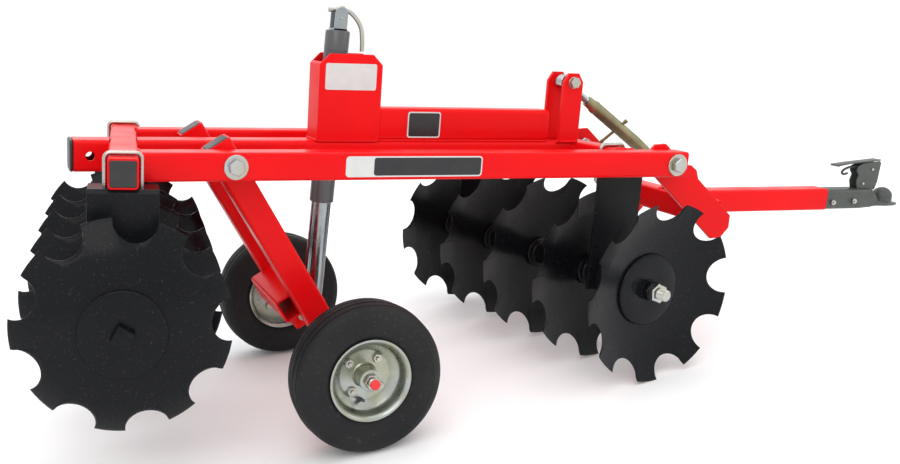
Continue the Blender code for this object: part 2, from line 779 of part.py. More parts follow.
def wheel(name, axis, side, reach, arm_y):
    spindle_in = arm_y - ARM / 2 - 0.010
    middle = TRACK / 2
    hub_out = middle + 0.040
    bm = rod(SPINDLE, *sorted((side * spindle_in, side * (hub_out + 0.038))))
    spindle = node(f"{name}_spindle", bm, axis, ZINC, (reach, 0, 0))
    hub_in = middle - 0.050
    collar = arm_y + ARM / 2 + GAP
    bm = rod(SPINDLE + 0.016, *sorted((side * collar, side * (hub_in - 0.002))))
    combine(spindle, bm, "UNION", (reach, 0, 0))
    bm = hexagon(0.036, *sorted((side * (hub_out + 0.003), side * (hub_out + 0.014))))
    combine(spindle, bm, "UNION", (reach, 0, 0))

    spin = empty(f"{name}_wheel_axis", axis, (reach, side * middle, 0))
    node(f"{name}_tyre", lathe(tyre_profile(), WHEEL_SIDES), spin, RUBBER)
    profile = [(r, side * y) for r, y in rim_profile()]
    node(f"{name}_rim", lathe(profile, WHEEL_SIDES), spin, ZINC)


def tyre_profile():
    """A closed section about its own middle, from one bead round to the other."""
    radius = TYRE / 2
    half = TYRE_WIDTH / 2
    bead = RIM / 2 - 0.012
    outer = [
        (bead, 0.026),
        (bead, 0.038),
        (RIM / 2 + 0.006, 0.046),
        (radius - 0.066, half - 0.001),
        (radius - 0.042, half),
        (radius - 0.022, half - 0.006),
        (radius - 0.010, half - 0.016),
        (radius - 0.002, half - 0.034),
        (radius, 0),
    ]
    mirrored = [(r, -y) for r, y in reversed(outer[:-1])]
    return outer + mirrored


def rim_profile():
    """Rim barrel, wheel centre and hub as one turned section. Positive y is the outer side."""
    lip = RIM / 2
    half = RIM_WIDTH / 2
    seat = RIM / 2 - 0.012 - GAP
    bore = SPINDLE / 2 + HUB_CLEARANCE
    hub = HUB / 2
    thin = 0.0035
    return [
        (lip, half),
        (lip, half - thin),
        (seat, 0.0385),
        (seat, -0.0385),
        (lip, -half + thin),
        (lip, -half),
        (lip - thin, -half),
        (seat - thin, -0.036),
        (seat - thin, -0.006),
        (hub + 0.022, -0.012),
        (hub, -0.012),
        (hub, -0.050),
        (bore, -0.050),
        (bore, 0.040),
        (hub - 0.006, 0.040),
        (hub - 0.002, 0.034),
        (hub, -0.006),
        (hub + 0.022, -0.006),
        (seat - thin - 0.004, 0.000),
        (seat - thin, 0.004),
        (seat - thin, 0.036),
        (lip - thin, half),
    ]


def jack(stance):
    """Outer tube on its trunnion in the mast, and the inner tube that slides in it. Local Z runs up the jack."""
    place = (jack_x(TRUNNION_HEIGHT), 0, TRUNNION_HEIGHT)
    axis = empty("jack_axis", stance, place, (0, jack_lean(), 0))
    slant = math.cos(jack_lean())
    top = (JACK_TOP[1] - TRUNNION_HEIGHT) / slant
    bottom = (JACK_OUTER_BOTTOM - TRUNNION_HEIGHT) / slant
    foot = (JACK_FOOT[1] - TRUNNION_HEIGHT) / slant
    outer = JACK_OUTER / 2
    inner = JACK_INNER / 2
    bore = outer - JACK_WALL
    # Closed at the top by its cap and gearbox head
    profile = [
        (0, top + 0.066),
        (0.019, top + 0.066),
        (0.023, top + 0.060),
        (0.023, top),
        (outer - 0.004, top),
        (outer, top - 0.004),
        (outer, bottom),
        (bore, bottom),
        (bore, top - 0.012),
        (0, top - 0.012),
    ]
    tube = lathe(profile, 32)
    tube = turned(tube, math.pi / 2, "X")
    body = node("jack_tube", tube, axis, STEEL)
    pin = rod(LUG_PIN, outer - 0.003, MAST_WIDTH / 2 - 0.0005)
    combine(body, pin, "UNION")
    pin = rod(LUG_PIN, -MAST_WIDTH / 2 + 0.0005, -outer + 0.003)
    combine(body, pin, "UNION")

    combine(body, crank(top), "UNION")
    seat = bore - 0.0008
    profile = [
        (0, top - JACK_ENGAGED),
        (seat, top - JACK_ENGAGED),
        (seat, top - JACK_ENGAGED - 0.04),
        (inner, top - JACK_ENGAGED - 0.05),
        (inner, foot - 0.024),
        (0, foot - 0.024),
    ]
    rod_mesh = turned(lathe(profile, 32), math.pi / 2, "X")
    sliding = node("jack_rod", rod_mesh, axis, ZINC)
    hole = rod(JACK_PIN + 2 * JACK_EYE_SLACK, -JACK_INNER, JACK_INNER)
    combine(sliding, hole, "DIFFERENCE", (0, 0, foot))


def crank(top):
    """A bent handle pinned through the head of the jack."""
    z = top + 0.057
    route = [
        (-0.030, 0, z),
        (0.014, 0, z + 0.001),
        (0.034, -0.005, z - 0.006),
        (0.052, -0.012, z - 0.024),
        (0.064, -0.018, z - 0.046),
        (0.071, -0.022, z - 0.110),
    ]
    bm = bmesh.new()
    tube_along(bm, [Vector(p) for p in route], 0.0065, 10)
    bmesh.ops.recalc_face_normals(bm, faces=bm.faces)
    return bm


def tube_along(bm, points, radius, sides):
    """Sweeps a round section along points, square to the path at each one."""
    rings = []
    reference = Vector((0, 1, 0))
    for i, point in enumerate(points):
        before = points[max(i - 1, 0)]
        after = points[min(i + 1, len(points) - 1)]
        way = (after - before).normalized()
        side = way.cross(reference).normalized()
        up = side.cross(way)
        turns = [2 * math.pi * k / sides for k in range(sides)]
        rings.append(ring(bm, [point + (side * math.cos(t) + up * math.sin(t)) * radius for t in turns]))
    for first, second in zip(rings, rings[1:]):
        bridge(bm, first, second)
    bm.faces.new(rings[0])
    bm.faces.new(rings[-1])


def tongue(stance):
    axis = empty("tongue_axis", stance, (TONGUE_PIVOT[0], 0, TONGUE_PIVOT[1]))

    def local(x, z):
        return (x - TONGUE_PIVOT[0], z - TONGUE_PIVOT[1])

    outer = FRAME_WIDTH / 2 - TUBE - 0.003
    way = Vector(YOKE_FOOT) - Vector(TONGUE_PIVOT)
    length = way.length + 0.036
    slope = math.atan2(way.y, way.x)
    wide = 0.050
    cut = 0.026
    outline = [
        (-wide + cut, -wide + 0.006),
        (length - 0.010, -wide + 0.006),
        (length + 0.016, -wide + 0.006 + cut),
        (length + 0.016, wide - cut),
        (length - 0.010, wide + 0.004),
        (0.150, wide + 0.004),
        (0.126, wide + 0.018),
        (0.098, wide + 0.016),
        (0.080, wide),
        (-wide + cut, wide),
        (-wide, wide - cut),
        (-wide, -wide + 0.006 + cut),
    ]
    turn = (0, -slope, 0)
    for name, side in (("right", -1), ("left", 1)):
        low, high = sorted((side * outer, side * (outer - YOKE_PLATE)))
        obj = node(f"{name}_yoke_plate", plate(outline, low, high), axis, RED, (0, 0, 0), turn)
        hole = rod(TONGUE_BOLT + 2 * GAP, *sorted((side * (outer - 0.05), side * (outer + 0.05))))
        combine(obj, hole, "DIFFERENCE")

    half = outer - YOKE_PLATE - GAP
    top = TONGUE_TOP
    centre = local(YOKE_FOOT[0] - 0.012, top - TONGUE_TUBE / 2)
    bm = square_tube(TONGUE_TUBE, TONGUE_TUBE, TUBE_WALL, square_at(-half), square_at(half))
    turned(bm, math.pi / 2, "Z")
    cross = node("yoke_cross_tube", bm, axis, RED, (centre[0], 0, centre[1]))
    start = centre[0] + TONGUE_TUBE / 2 + GAP
    end = TONGUE_TUBE_FRONT - TONGUE_PIVOT[0]
    bm = square_tube(TONGUE_TUBE, TONGUE_TUBE, TUBE_WALL, square_at(start), square_at(end))
    node("tongue_tube", bm, axis, RED, (0, 0, centre[1]))

    # A pair of ears on the cross tube takes the turnbuckle's lower eye
    foot = local(*TURNBUCKLE_FOOT)
    base = centre[1] + TONGUE_TUBE / 2 - 0.001
    ear_low = (centre[0] - 0.034, base)
    ear_high = (centre[0] + 0.036, base)
    outline = [ear_low, ear_high] + arc(foot, 0.019, 0, 180, 6)
    for side in (-1, 1):
        bm = plate(outline, *sorted((side * 0.0125, side * 0.0225)))
        combine(cross, bm, "UNION")
    hole = rod(LUG_PIN + 2 * GAP, -0.05, 0.05)
    combine(cross, hole, "DIFFERENCE", (foot[0], 0, foot[1]))
    pin = rod(LUG_PIN, -0.034, 0.034)
    node("yoke_pin", pin, axis, ZINC, (foot[0], 0, foot[1]))
    coupler(axis, end, centre[1])
    return axis


def coupler(axis, start, z):
    """A ball coupler: a channel over the tongue's end that narrows to a domed socket."""
    # The channel is a solid nose with the ball's hollow cut from below
    bm = bmesh.new()
    rows = []
    stations = [
        (start + GAP, 0.0375, -0.036, 0.034),
        (start + 0.120, 0.0375, -0.036, 0.034),
        (start + 0.190, 0.036, -0.033, 0.034),
        (start + 0.235, 0.039, -0.028, 0.038),
        (start + 0.275, 0.041, -0.026, 0.040),
        (start + 0.310, 0.037, -0.026, 0.037),
        (start + 0.335, 0.026, -0.025, 0.029),
        (start + 0.347, 0.012, -0.022, 0.018),
    ]
    for x, w, low, high in stations:
        section = rounded_square(2 * w, high - low, min(0.011, w * 0.6), 2)
        rows.append(ring(bm, [(x, u, v + (high + low) / 2) for u, v in section]))
    for first, second in zip(rows, rows[1:]):
        bridge(bm, first, second)
    bm.faces.new(rows[0])
    bm.faces.new(rows[-1])
    obj = node("coupler", bm, axis, STEEL, (0, 0, z))
    ball = 0.0508 / 2 + 0.0008
    socket = [(0, -0.060), (ball, -0.060), (ball, 0.002)]
    socket += [(ball * math.cos(t), 0.002 + ball * math.sin(t)) for t in (0.4, 0.8, 1.2)]
    socket += [(0, 0.002 + ball)]
    bm = turned(lathe([(r, -y) for r, y in socket], 24), -math.pi / 2, "X")
    combine(obj, bm, "DIFFERENCE", (start + 0.290, 0, z))
    lever = plate([(start + 0.046, 0.116), (start + 0.050, 0.124), (start + 0.236, 0.140),
                   (start + 0.244, 0.132), (start + 0.236, 0.030), (start + 0.150, 0.030),
                   (start + 0.140, 0.110)], -0.017, 0.017)
    combine(obj, lever, "UNION", (0, 0, z))


def turnbuckle(stance):
    """Top link from the lugs to the tongue. Local X runs from the lug pin to the tongue's pin."""
    pin_x, pin_z = lug_pin()
    dx = TURNBUCKLE_FOOT[0] - pin_x
    dz = TURNBUCKLE_FOOT[1] - pin_z
    span = math.hypot(dx, dz)
    axis = empty("turnbuckle_axis", stance, (pin_x, 0, pin_z), (0, -math.atan2(dz, dx), 0))
    body_start = 0.105
    body_end = span - 0.175
    body = TURNBUCKLE_BODY / 2
    stem = TURNBUCKLE_ROD / 2
    # Upper eye, screw and barrel
    obj = node("turnbuckle_body", eye(0.046, LUG_PIN + 2 * GAP, 0.032), axis, OLIVE)
    profile = [(0, 0.015), (stem, 0.015), (stem, body_start), (body - 0.004, body_start),
               (body, body_start + 0.030), (body, body_end - 0.050), (stem + 0.004, body_end),
               (0, body_end)]
    bm = turned(lathe(profile, 20), -math.pi / 2, "Z")
    combine(obj, bm, "UNION")
    bore = [(0, body_end - 0.150), (stem + 0.0005, body_end - 0.150), (stem + 0.0005, body_end + 0.05),
            (0, body_end + 0.05)]
    combine(obj, turned(lathe(bore, 20), -math.pi / 2, "Z"), "DIFFERENCE")
    handle = turned(rod(0.010, -0.075, 0.036, 12), math.radians(120), "X")
    moved(handle, (0.260, 0, 0))
    combine(obj, handle, "UNION")

    screw = node("turnbuckle_screw", eye(0.040, LUG_PIN + 2 * TURNBUCKLE_EYE_SLACK, 0.023), axis, ZINC, (span, 0, 0))
    profile = [(0, body_end - 0.100), (stem, body_end - 0.100), (stem, span - 0.014), (0, span - 0.014)]
    combine(screw, turned(lathe(profile, 20), -math.pi / 2, "Z"), "UNION")


def stand(stance):
    """Tilts the machine about its wheel axle until its foremost disc meets the ground, keeping the wheels'
    own corners square to the ground."""
    bpy.context.view_layer.update()
    hub = Vector((WHEEL_X, 0, TYRE / 2))
    points = []
    for k in range(DISC_COUNT):
        obj = bpy.data.objects[f"front_disc_{k + 1}"]
        points += [obj.matrix_world @ vert.co - hub for vert in obj.data.vertices]

    def clearance(angle):
        return min(p.z * math.cos(angle) - p.x * math.sin(angle) for p in points) + TYRE / 2

    low = 0.0
    high = math.radians(30)
    for _ in range(50):
        middle = (low + high) / 2
        if clearance(middle) > 0:
            low = middle
        else:
            high = middle
    stance.rotation_euler = (0, low, 0)
    stance.location = hub - Matrix.Rotation(low, 3, "Y") @ hub
    for side in ("right", "left"):
        bpy.data.objects[f"{side}_wheel_axis"].rotation_euler = (0, -arm_angle() - low, 0)


def centre_on_origin(stance):
    """Moves the machine so that the origin lies on the ground under the middle of its bounding box."""
    bpy.context.view_layer.update()
    points = []
    for obj in bpy.data.objects:
        if obj.type == "MESH" and not obj.hide_render:
            points += [obj.matrix_world @ vert.co for vert in obj.data.vertices]
    for axis in (0, 1):
        places = [point[axis] for point in points]
        stance.location[axis] -= (min(places) + max(places)) / 2


def build():
    clear_scene()
    stance = empty("stance", None, (0, 0, 0))
    frame(stance)
    rear_second = Vector((*REAR_END, 0)) + across(REAR_ANGLE) * HANGER_SPACING
    hanger("rear_right_hanger", stance, REAR_END, REAR_ANGLE)
    hanger("rear_left_hanger", stance, tuple(rear_second.xy), REAR_ANGLE)
    front_first = front_hanger_point()
    front_second = Vector((*front_first, 0)) + across(FRONT_ANGLE) * HANGER_SPACING
    hanger("front_right_hanger", stance, front_first, FRONT_ANGLE)
    hanger("front_left_hanger", stance, tuple(front_second.xy), FRONT_ANGLE)
    rear_middle = -(REAR_RIM_OUTSET + DISC_DISH)
    gang("rear", stance, REAR_END, REAR_ANGLE, 1, rear_middle, math.radians(-3.5))
    front_middle = DISC_DISH - FRONT_HANGER
    gang("front", stance, front_first, FRONT_ANGLE, -1, front_middle, math.radians(-8))
    lift_frame(stance)
    jack(stance)
    tongue(stance)
    turnbuckle(stance)
    stand(stance)
    centre_on_origin(stance)


build()
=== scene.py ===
"""Looks of the disc harrow: smooth tubes with weld beads, notched blades, ribbed tyres, plated fasteners and
the studio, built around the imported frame. Metres, in the frame's axes."""

import math

import bmesh
import bpy
from mathutils import Matrix, Vector, noise


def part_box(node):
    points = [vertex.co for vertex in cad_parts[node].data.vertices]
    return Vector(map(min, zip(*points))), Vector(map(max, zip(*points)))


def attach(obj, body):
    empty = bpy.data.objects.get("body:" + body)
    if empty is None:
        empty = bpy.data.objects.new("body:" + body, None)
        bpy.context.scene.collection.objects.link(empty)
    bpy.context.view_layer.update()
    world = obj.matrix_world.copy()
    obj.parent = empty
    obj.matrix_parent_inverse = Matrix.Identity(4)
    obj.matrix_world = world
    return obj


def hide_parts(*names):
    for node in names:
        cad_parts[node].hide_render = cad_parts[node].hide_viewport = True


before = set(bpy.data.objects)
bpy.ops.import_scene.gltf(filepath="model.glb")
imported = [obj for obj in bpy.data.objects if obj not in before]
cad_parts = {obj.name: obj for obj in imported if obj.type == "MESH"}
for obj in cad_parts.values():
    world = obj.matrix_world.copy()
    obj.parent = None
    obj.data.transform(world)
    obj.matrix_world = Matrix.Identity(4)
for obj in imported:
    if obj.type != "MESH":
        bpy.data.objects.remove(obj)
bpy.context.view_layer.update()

# Sizes shared with the model, in the machine's own level axes
GAP = 0.0003
TUBE, TUBE_WALL = 0.0762, 0.0048
SPINE, SPINE_WALL = 0.0889, 0.0064
FRAME_WIDTH = 0.593
RAIL_TOP, RAIL_FRONT = 0.799, 1.183
SPINE_REAR = -0.615
RAIL_Y = FRAME_WIDTH / 2 - TUBE / 2
RAIL_Z = RAIL_TOP - TUBE / 2
REAR_ANGLE, FRONT_ANGLE = math.radians(7.65), math.radians(-8.4)
REAR_END = Vector((-0.5275, -0.3957, 0))
FRONT_RIM, FRONT_HANGER = Vector((1.0376, -0.4215, 0)), 0.2037
REAR_TUBE, HANGER_SPACING, FRONT_TUBE_PAST = 0.79, 0.7, 0.09
AXLE_HEIGHT = 0.3985
DISC, DISC_THICK, DISC_DISH, DISC_FLAT = 0.542, 0.005, 0.058, 0.052
NOTCHES, NOTCH = 9, 0.056
DISC_SPACING, DISC_COUNT = 0.248, 5
REAR_PHASE, FRONT_PHASE = math.radians(-3.5), math.radians(-8)
AXLE, SPOOL, SPOOL_FLANGE, BUMPER = 0.044, 0.066, 0.1, 0.218
PLATE, U_BOLT, HANGER_FLANGE = 0.01, 0.0127, 0.096
MAST_REAR, MAST_LENGTH, MAST_HEIGHT, MAST_WIDTH, MAST_WALL = 0.08, 0.195, 0.252, 0.0952, 0.0075
MAST_CHAMFER = 0.03
BEAM_HEIGHT, BEAM_FRONT = 0.097, 0.849
LUG_REAR, LUG_LENGTH, LUG_HEIGHT, LUG_GAP, LUG_THICK = 0.884, 0.068, 0.214, 0.078, 0.0125
LIFT_PIVOT, TONGUE_PIVOT = (-0.2222, 0.7609), (1.1445, 0.7609)
ARM, ARM_ABOVE, ARM_CLEARANCE = 0.0762, 0.058, 0.005
ARM_Y = FRAME_WIDTH / 2 - TUBE - ARM_CLEARANCE - ARM / 2
WHEEL_X, TYRE, TRACK, RIM = 0.122, 0.4208, 0.836, 0.23
SPINDLE, HUB, HUB_BOLT = 0.0318, 0.066, 0.024
CROSS_ALONG, CROSS_SETBACK = 0.483, 0.045
JACK_FOOT, JACK_TOP, TRUNNION_HEIGHT = (0.103, 0.302), (0.146, 1.117), 1.008
JACK_OUTER, JACK_INNER, JACK_OUTER_BOTTOM, JACK_PIN = 0.072, 0.06, 0.611, 0.0254
TONGUE_TOP, TONGUE_FRONT, YOKE_PLATE = 0.632, 2.005, 0.0125
YOKE_FOOT, TURNBUCKLE_FOOT = (1.38, 0.56), (1.4, 0.66)
PIN = 0.0191

# Fasteners, small gaps and directions used by the looks
SPINDLE_SLEEVE, SPINDLE_NUT, HUB_BOLT_CIRCLE = 0.008, 0.038, 0.057
HITCH_HOLE, HITCH_HOLE_PAST, JACK_EYE_SLACK = 0.025, 0.045, 0.005
FRAME_BOLT, FRAME_BOLT_HEX, FRAME_WASHER = 0.0254, 0.0385, 0.066
GANG_NUT, GANG_THREAD, GANG_THREAD_PAST, GANG_HEAD, GANG_HEAD_PAST = 0.054, 0.0344, 0.083, 0.046, 0.036
CAP_LIP, LABEL_LIFT, WELD = 0.012, 0.0004, 0.0042
UPRIGHT = Matrix.Rotation(math.pi / 2, 4, "X")
LENGTHWISE = Matrix.Rotation(-math.pi / 2, 4, "Z")
SQUARE = ((-1, -1), (1, -1), (1, 1), (-1, 1))


def centre(node):
    low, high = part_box(node)
    return (low + high) / 2


def turn(angle, axis):
    return Matrix.Rotation(angle, 4, axis)


def move(x, y, z):
    return Matrix.Translation((x, y, z))


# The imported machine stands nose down: two bolts on its frame give the tilt
lift_bolt = centre("right_lift_bolt")
tongue_bolt = centre("right_tongue_bolt")
TILT = math.atan2(lift_bolt.z - tongue_bolt.z, tongue_bolt.x - lift_bolt.x)
MIDDLE_Y = (lift_bolt.y + centre("left_lift_bolt").y) / 2
LEVEL = move(lift_bolt.x, MIDDLE_Y, lift_bolt.z) @ turn(TILT, "Y") @ move(-LIFT_PIVOT[0], 0, -LIFT_PIVOT[1])


def level(x, y, z):
    """A place in the machine's level axes."""
    return LEVEL @ move(x, y, z)


def along_axle(angle):
    return Vector((math.sin(angle), math.cos(angle), 0))


FRONT_POINT = FRONT_RIM + along_axle(FRONT_ANGLE) * FRONT_HANGER
REACH = math.hypot(WHEEL_X - LIFT_PIVOT[0], LIFT_PIVOT[1] - TYRE / 2)
ARM_ANGLE = math.atan2(LIFT_PIVOT[1] - TYRE / 2, WHEEL_X - LIFT_PIVOT[0])
JACK_LEAN = math.atan2(JACK_TOP[0] - JACK_FOOT[0], JACK_TOP[1] - JACK_FOOT[1])
JACK_X = JACK_FOOT[0] + (TRUNNION_HEIGHT - JACK_FOOT[1]) * math.tan(JACK_LEAN)
LUG_PIN = (LUG_REAR + LUG_LENGTH / 2, RAIL_TOP + LUG_HEIGHT - 0.029)

REAR_GANG = level(*REAR_END.xy, AXLE_HEIGHT) @ turn(-REAR_ANGLE, "Z")
FRONT_GANG = level(*FRONT_POINT.xy, AXLE_HEIGHT) @ turn(-FRONT_ANGLE, "Z")
LIFT = level(LIFT_PIVOT[0], 0, LIFT_PIVOT[1]) @ turn(ARM_ANGLE, "Y")
JACK = level(JACK_X, 0, TRUNNION_HEIGHT) @ turn(JACK_LEAN, "Y")
TONGUE = level(TONGUE_PIVOT[0], 0, TONGUE_PIVOT[1])
LINK_X, LINK_Z = TURNBUCKLE_FOOT[0] - LUG_PIN[0], TURNBUCKLE_FOOT[1] - LUG_PIN[1]
LINK = level(LUG_PIN[0], 0, LUG_PIN[1]) @ turn(-math.atan2(LINK_Z, LINK_X), "Y")


# ---------------------------------------------------------------- materials

def wire(tree, source, target):
    tree.links.new(source, target)


def noise_between(tree, scale, low, high, detail=4.0, from_low=0.35, from_high=0.65):
    """A noise mapped to low..high. The pattern sits in the piece's own rest position."""
    place = tree.nodes.new("ShaderNodeTexCoord")
    pattern = tree.nodes.new("ShaderNodeTexNoise")
    pattern.inputs["Scale"].default_value = scale
    pattern.inputs["Detail"].default_value = detail
    spread = tree.nodes.new("ShaderNodeMapRange")
    spread.inputs["From Min"].default_value = from_low
    spread.inputs["From Max"].default_value = from_high
    spread.inputs["To Min"].default_value = low
    spread.inputs["To Max"].default_value = high
    wire(tree, place.outputs["Object"], pattern.inputs["Vector"])
    wire(tree, pattern.outputs["Fac"], spread.inputs["Value"])
    return spread.outputs["Result"]


def blend_colour(tree, amount, first, second):
    """first and second are colours or sockets."""
    mix = tree.nodes.new("ShaderNodeMix")
    mix.data_type = "RGBA"
    wire(tree, amount, mix.inputs["Factor"])
    for slot, value in (("A", first), ("B", second)):
        socket = next(s for s in mix.inputs if s.name == slot and s.type == "RGBA")
        if isinstance(value, tuple):
            socket.default_value = (*value, 1)
        else:
            wire(tree, value, socket)
    return next(s for s in mix.outputs if s.type == "RGBA")


def surface(name, colour, second, tint_scale, rough, metallic=0.0, coat=0.0, specular=0.5,
            bump=(0.0, 1.0), specks=None, rough_scale=9.0):
    """A Principled material whose colour and roughness drift between two values."""
    made = bpy.data.materials.new(name)
    made.use_nodes = True
    tree = made.node_tree
    shader = tree.nodes["Principled BSDF"]
    shader.inputs["Metallic"].default_value = metallic
    shader.inputs["Coat Weight"].default_value = coat
    shader.inputs["Coat Roughness"].default_value = 0.08
    shader.inputs["Specular IOR Level"].default_value = specular
    tone = blend_colour(tree, noise_between(tree, tint_scale, 0, 1), colour, second)
    if specks:
        speck_colour, scale, share = specks
        amount = noise_between(tree, scale, 0, share, 8, 0.6, 0.74)
        tone = blend_colour(tree, amount, tone, speck_colour)
    wire(tree, tone, shader.inputs["Base Color"])
    wire(tree, noise_between(tree, rough_scale, *rough), shader.inputs["Roughness"])
    if bump[0]:
        grain = noise_between(tree, bump[1], 0, 1, 3, 0.0, 1.0)
        relief = tree.nodes.new("ShaderNodeBump")
        relief.inputs["Strength"].default_value = bump[0]
        relief.inputs["Distance"].default_value = 0.001
        wire(tree, grain, relief.inputs["Height"])
        wire(tree, relief.outputs["Normal"], shader.inputs["Normal"])
    return made


RED = surface("red_powder_coat", (0.8, 0.004, 0.006), (0.7, 0.003, 0.005), 2.5, (0.28, 0.38), coat=0.04,
              specular=0.11, bump=(0.1, 420), specks=((0.45, 0.05, 0.04), 260, 0.25))
BLACK = surface("gloss_black_enamel", (0.0045, 0.005, 0.0065), (0.007, 0.0075, 0.009), 3.0, (0.16, 0.28),
                specular=0.13, bump=(0.07, 300), specks=((0.07, 0.07, 0.065), 150, 0.3), rough_scale=5)
HANGER = surface("black_hanger_paint", (0.005, 0.0055, 0.007), (0.008, 0.0085, 0.01), 4.0, (0.22, 0.36),
                 specular=0.13, bump=(0.1, 260), specks=((0.07, 0.07, 0.07), 170, 0.3))
ZINC = surface("yellow_zinc_plate", (0.46, 0.48, 0.5), (0.46, 0.43, 0.33), 16, (0.2, 0.38), metallic=1.0,
               bump=(0.12, 500), specks=((0.3, 0.28, 0.22), 190, 0.4), rough_scale=30)
BRIGHT = surface("bright_zinc_tube", (0.38, 0.41, 0.42), (0.3, 0.32, 0.33), 10, (0.16, 0.32), metallic=1.0,
                 bump=(0.06, 600), rough_scale=24)
RIM_ZINC = surface("galvanised_rim", (0.4, 0.43, 0.42), (0.36, 0.37, 0.28), 14, (0.22, 0.4), metallic=0.95,
                   bump=(0.14, 240), specks=((0.3, 0.3, 0.24), 120, 0.4), rough_scale=26)
JACK_GREY = surface("grey_jack_enamel", (0.075, 0.078, 0.083), (0.06, 0.062, 0.066), 6, (0.3, 0.42), coat=0.2,
                    bump=(0.1, 380), specks=((0.2, 0.2, 0.2), 200, 0.3))
RUBBER = surface("tyre_rubber", (0.01, 0.0105, 0.012), (0.016, 0.016, 0.016), 7, (0.52, 0.74), specular=0.22,
                 bump=(0.35, 480), specks=((0.06, 0.058, 0.054), 90, 0.45), rough_scale=14)
CAP = surface("black_plastic", (0.014, 0.014, 0.015), (0.02, 0.02, 0.021), 20, (0.38, 0.52),
              bump=(0.2, 700))
OLIVE = surface("olive_chromate", (0.3, 0.28, 0.15), (0.22, 0.21, 0.12), 18, (0.3, 0.46), metallic=0.85,
                bump=(0.15, 420), specks=((0.12, 0.11, 0.07), 160, 0.4))
COUPLER = surface("coupler_paint", (0.07, 0.078, 0.07), (0.052, 0.058, 0.053), 12, (0.32, 0.48),
                  metallic=0.25, bump=(0.25, 300), specks=((0.22, 0.22, 0.2), 180, 0.35))
LABEL = surface("label_stock", (0.62, 0.62, 0.61), (0.58, 0.58, 0.57), 30, (0.34, 0.42), bump=(0.03, 500))
DECAL = surface("dark_decal", (0.01, 0.01, 0.012), (0.014, 0.014, 0.016), 30, (0.24, 0.32))
PLUG = surface("red_dipped_end", (0.8, 0.012, 0.012), (0.72, 0.01, 0.01), 40, (0.3, 0.42), coat=0.2)
BRASS = surface("valve_stem", (0.05, 0.05, 0.05), (0.03, 0.03, 0.03), 60, (0.45, 0.6))


# ---------------------------------------------------------------- shapes

def ring(bm, points):
    return [bm.verts.new(p) for p in points]


def bridge(bm, first, second):
    count = len(first)
    for i in range(count):
        j = (i + 1) % count
        bm.faces.new((first[i], first[j], second[j], second[i]))


def rounded(width, height, radius, steps=5):
    """Corner points of a rounded rectangle, counter-clockwise."""
    points = []
    for corner in range(4):
        sign_u = 1 if corner in (0, 3) else -1
        sign_v = 1 if corner in (0, 1) else -1
        for step in range(steps + 1):
            angle = math.pi / 2 * (corner + step / steps)
            points.append((sign_u * (width / 2 - radius) + radius * math.cos(angle),
                           sign_v * (height / 2 - radius) + radius * math.sin(angle)))
    return points


def square_tube(width, height, wall, start, end):
    """A hollow tube along X with rounded corners and eased ends. start and end give X for a point's Y."""
    bm = bmesh.new()
    outer = rounded(width, height, 2 * wall)
    inner = rounded(width - 2 * wall, height - 2 * wall, wall)
    ease = 0.0009
    eased = rounded(width - 2 * ease, height - 2 * ease, 2 * wall - ease)
    rows = [
        ring(bm, [(start(u), u, v) for u, v in inner]),
        ring(bm, [(start(u), u, v) for u, v in eased]),
        ring(bm, [(start(u) + ease, u, v) for u, v in outer]),
        ring(bm, [(end(u) - ease, u, v) for u, v in outer]),
        ring(bm, [(end(u), u, v) for u, v in eased]),
        ring(bm, [(end(u), u, v) for u, v in inner]),
    ]
    for i in range(6):
        bridge(bm, rows[i], rows[(i + 1) % 6])
    return bm


def between(side, near, far):
    """The low and high ends of a span that lies from near to far on one side."""
    return sorted((side * near, side * far))


def at(x):
    return lambda y: x


def plug(width, height, radius, start, end, ease=0.0015):
    """A solid bar along X with eased ends."""
    bm = bmesh.new()
    full = rounded(width, height, radius)
    less = rounded(width - 2 * ease, height - 2 * ease, max(radius - ease, 0.0005))
    rows = [ring(bm, [(start, u, v) for u, v in less]), ring(bm, [(start + ease, u, v) for u, v in full]),
            ring(bm, [(end - ease, u, v) for u, v in full]), ring(bm, [(end, u, v) for u, v in less])]
    for first, second in zip(rows, rows[1:]):
        bridge(bm, first, second)
    bm.faces.new(rows[0])
    bm.faces.new(rows[-1])
    return bm


def lathe(profile, segments=64):
    """Turns (radius, y) points about Y. A profile off the axis at both ends closes on itself."""
    bm = bmesh.new()
    rings = []
    for radius, y in profile:
        if radius == 0:
            rings.append([bm.verts.new((0, y, 0))])
            continue
        turns = [2 * math.pi * k / segments for k in range(segments)]
        rings.append(ring(bm, [(radius * math.cos(t), y, radius * math.sin(t)) for t in turns]))
    pairs = list(zip(rings, rings[1:]))
    if profile[0][0] > 0 or profile[-1][0] > 0:
        pairs.append((rings[-1], rings[0]))
    for first, second in pairs:
        first = first * segments if len(first) == 1 else first
        second = second * segments if len(second) == 1 else second
        for k in range(segments):
            n = (k + 1) % segments
            corners = []
            for vert in (first[k], first[n], second[n], second[k]):
                if vert not in corners:
                    corners.append(vert)
            bm.faces.new(corners)
    return bm


def rod(radius, start, end, ease=0.0008, segments=40):
    """A solid cylinder along Y with eased ends."""
    ease = min(ease, radius / 2)
    return lathe([(0, start), (radius - ease, start), (radius, start + ease), (radius, end - ease),
                  (radius - ease, end), (0, end)], segments)


def disc(radius, start, end, segments=40):
    """A cylinder along Y with sharp ends."""
    return lathe([(0, start), (radius, start), (radius, end), (0, end)], segments)


def threaded(radius, start, end, pitch=0.0022, segments=28):
    """A screw thread drawn as close rings along Y."""
    profile = [(0, start), (radius * 0.86, start)]
    count = max(int((end - start) / pitch), 1)
    for k in range(count):
        y = start + (end - start) * (k + 0.5) / count
        profile += [(radius, y), (radius * 0.9, y + pitch / 2)]
    return lathe(profile[:-1] + [(radius * 0.86, end), (0, end)], segments)


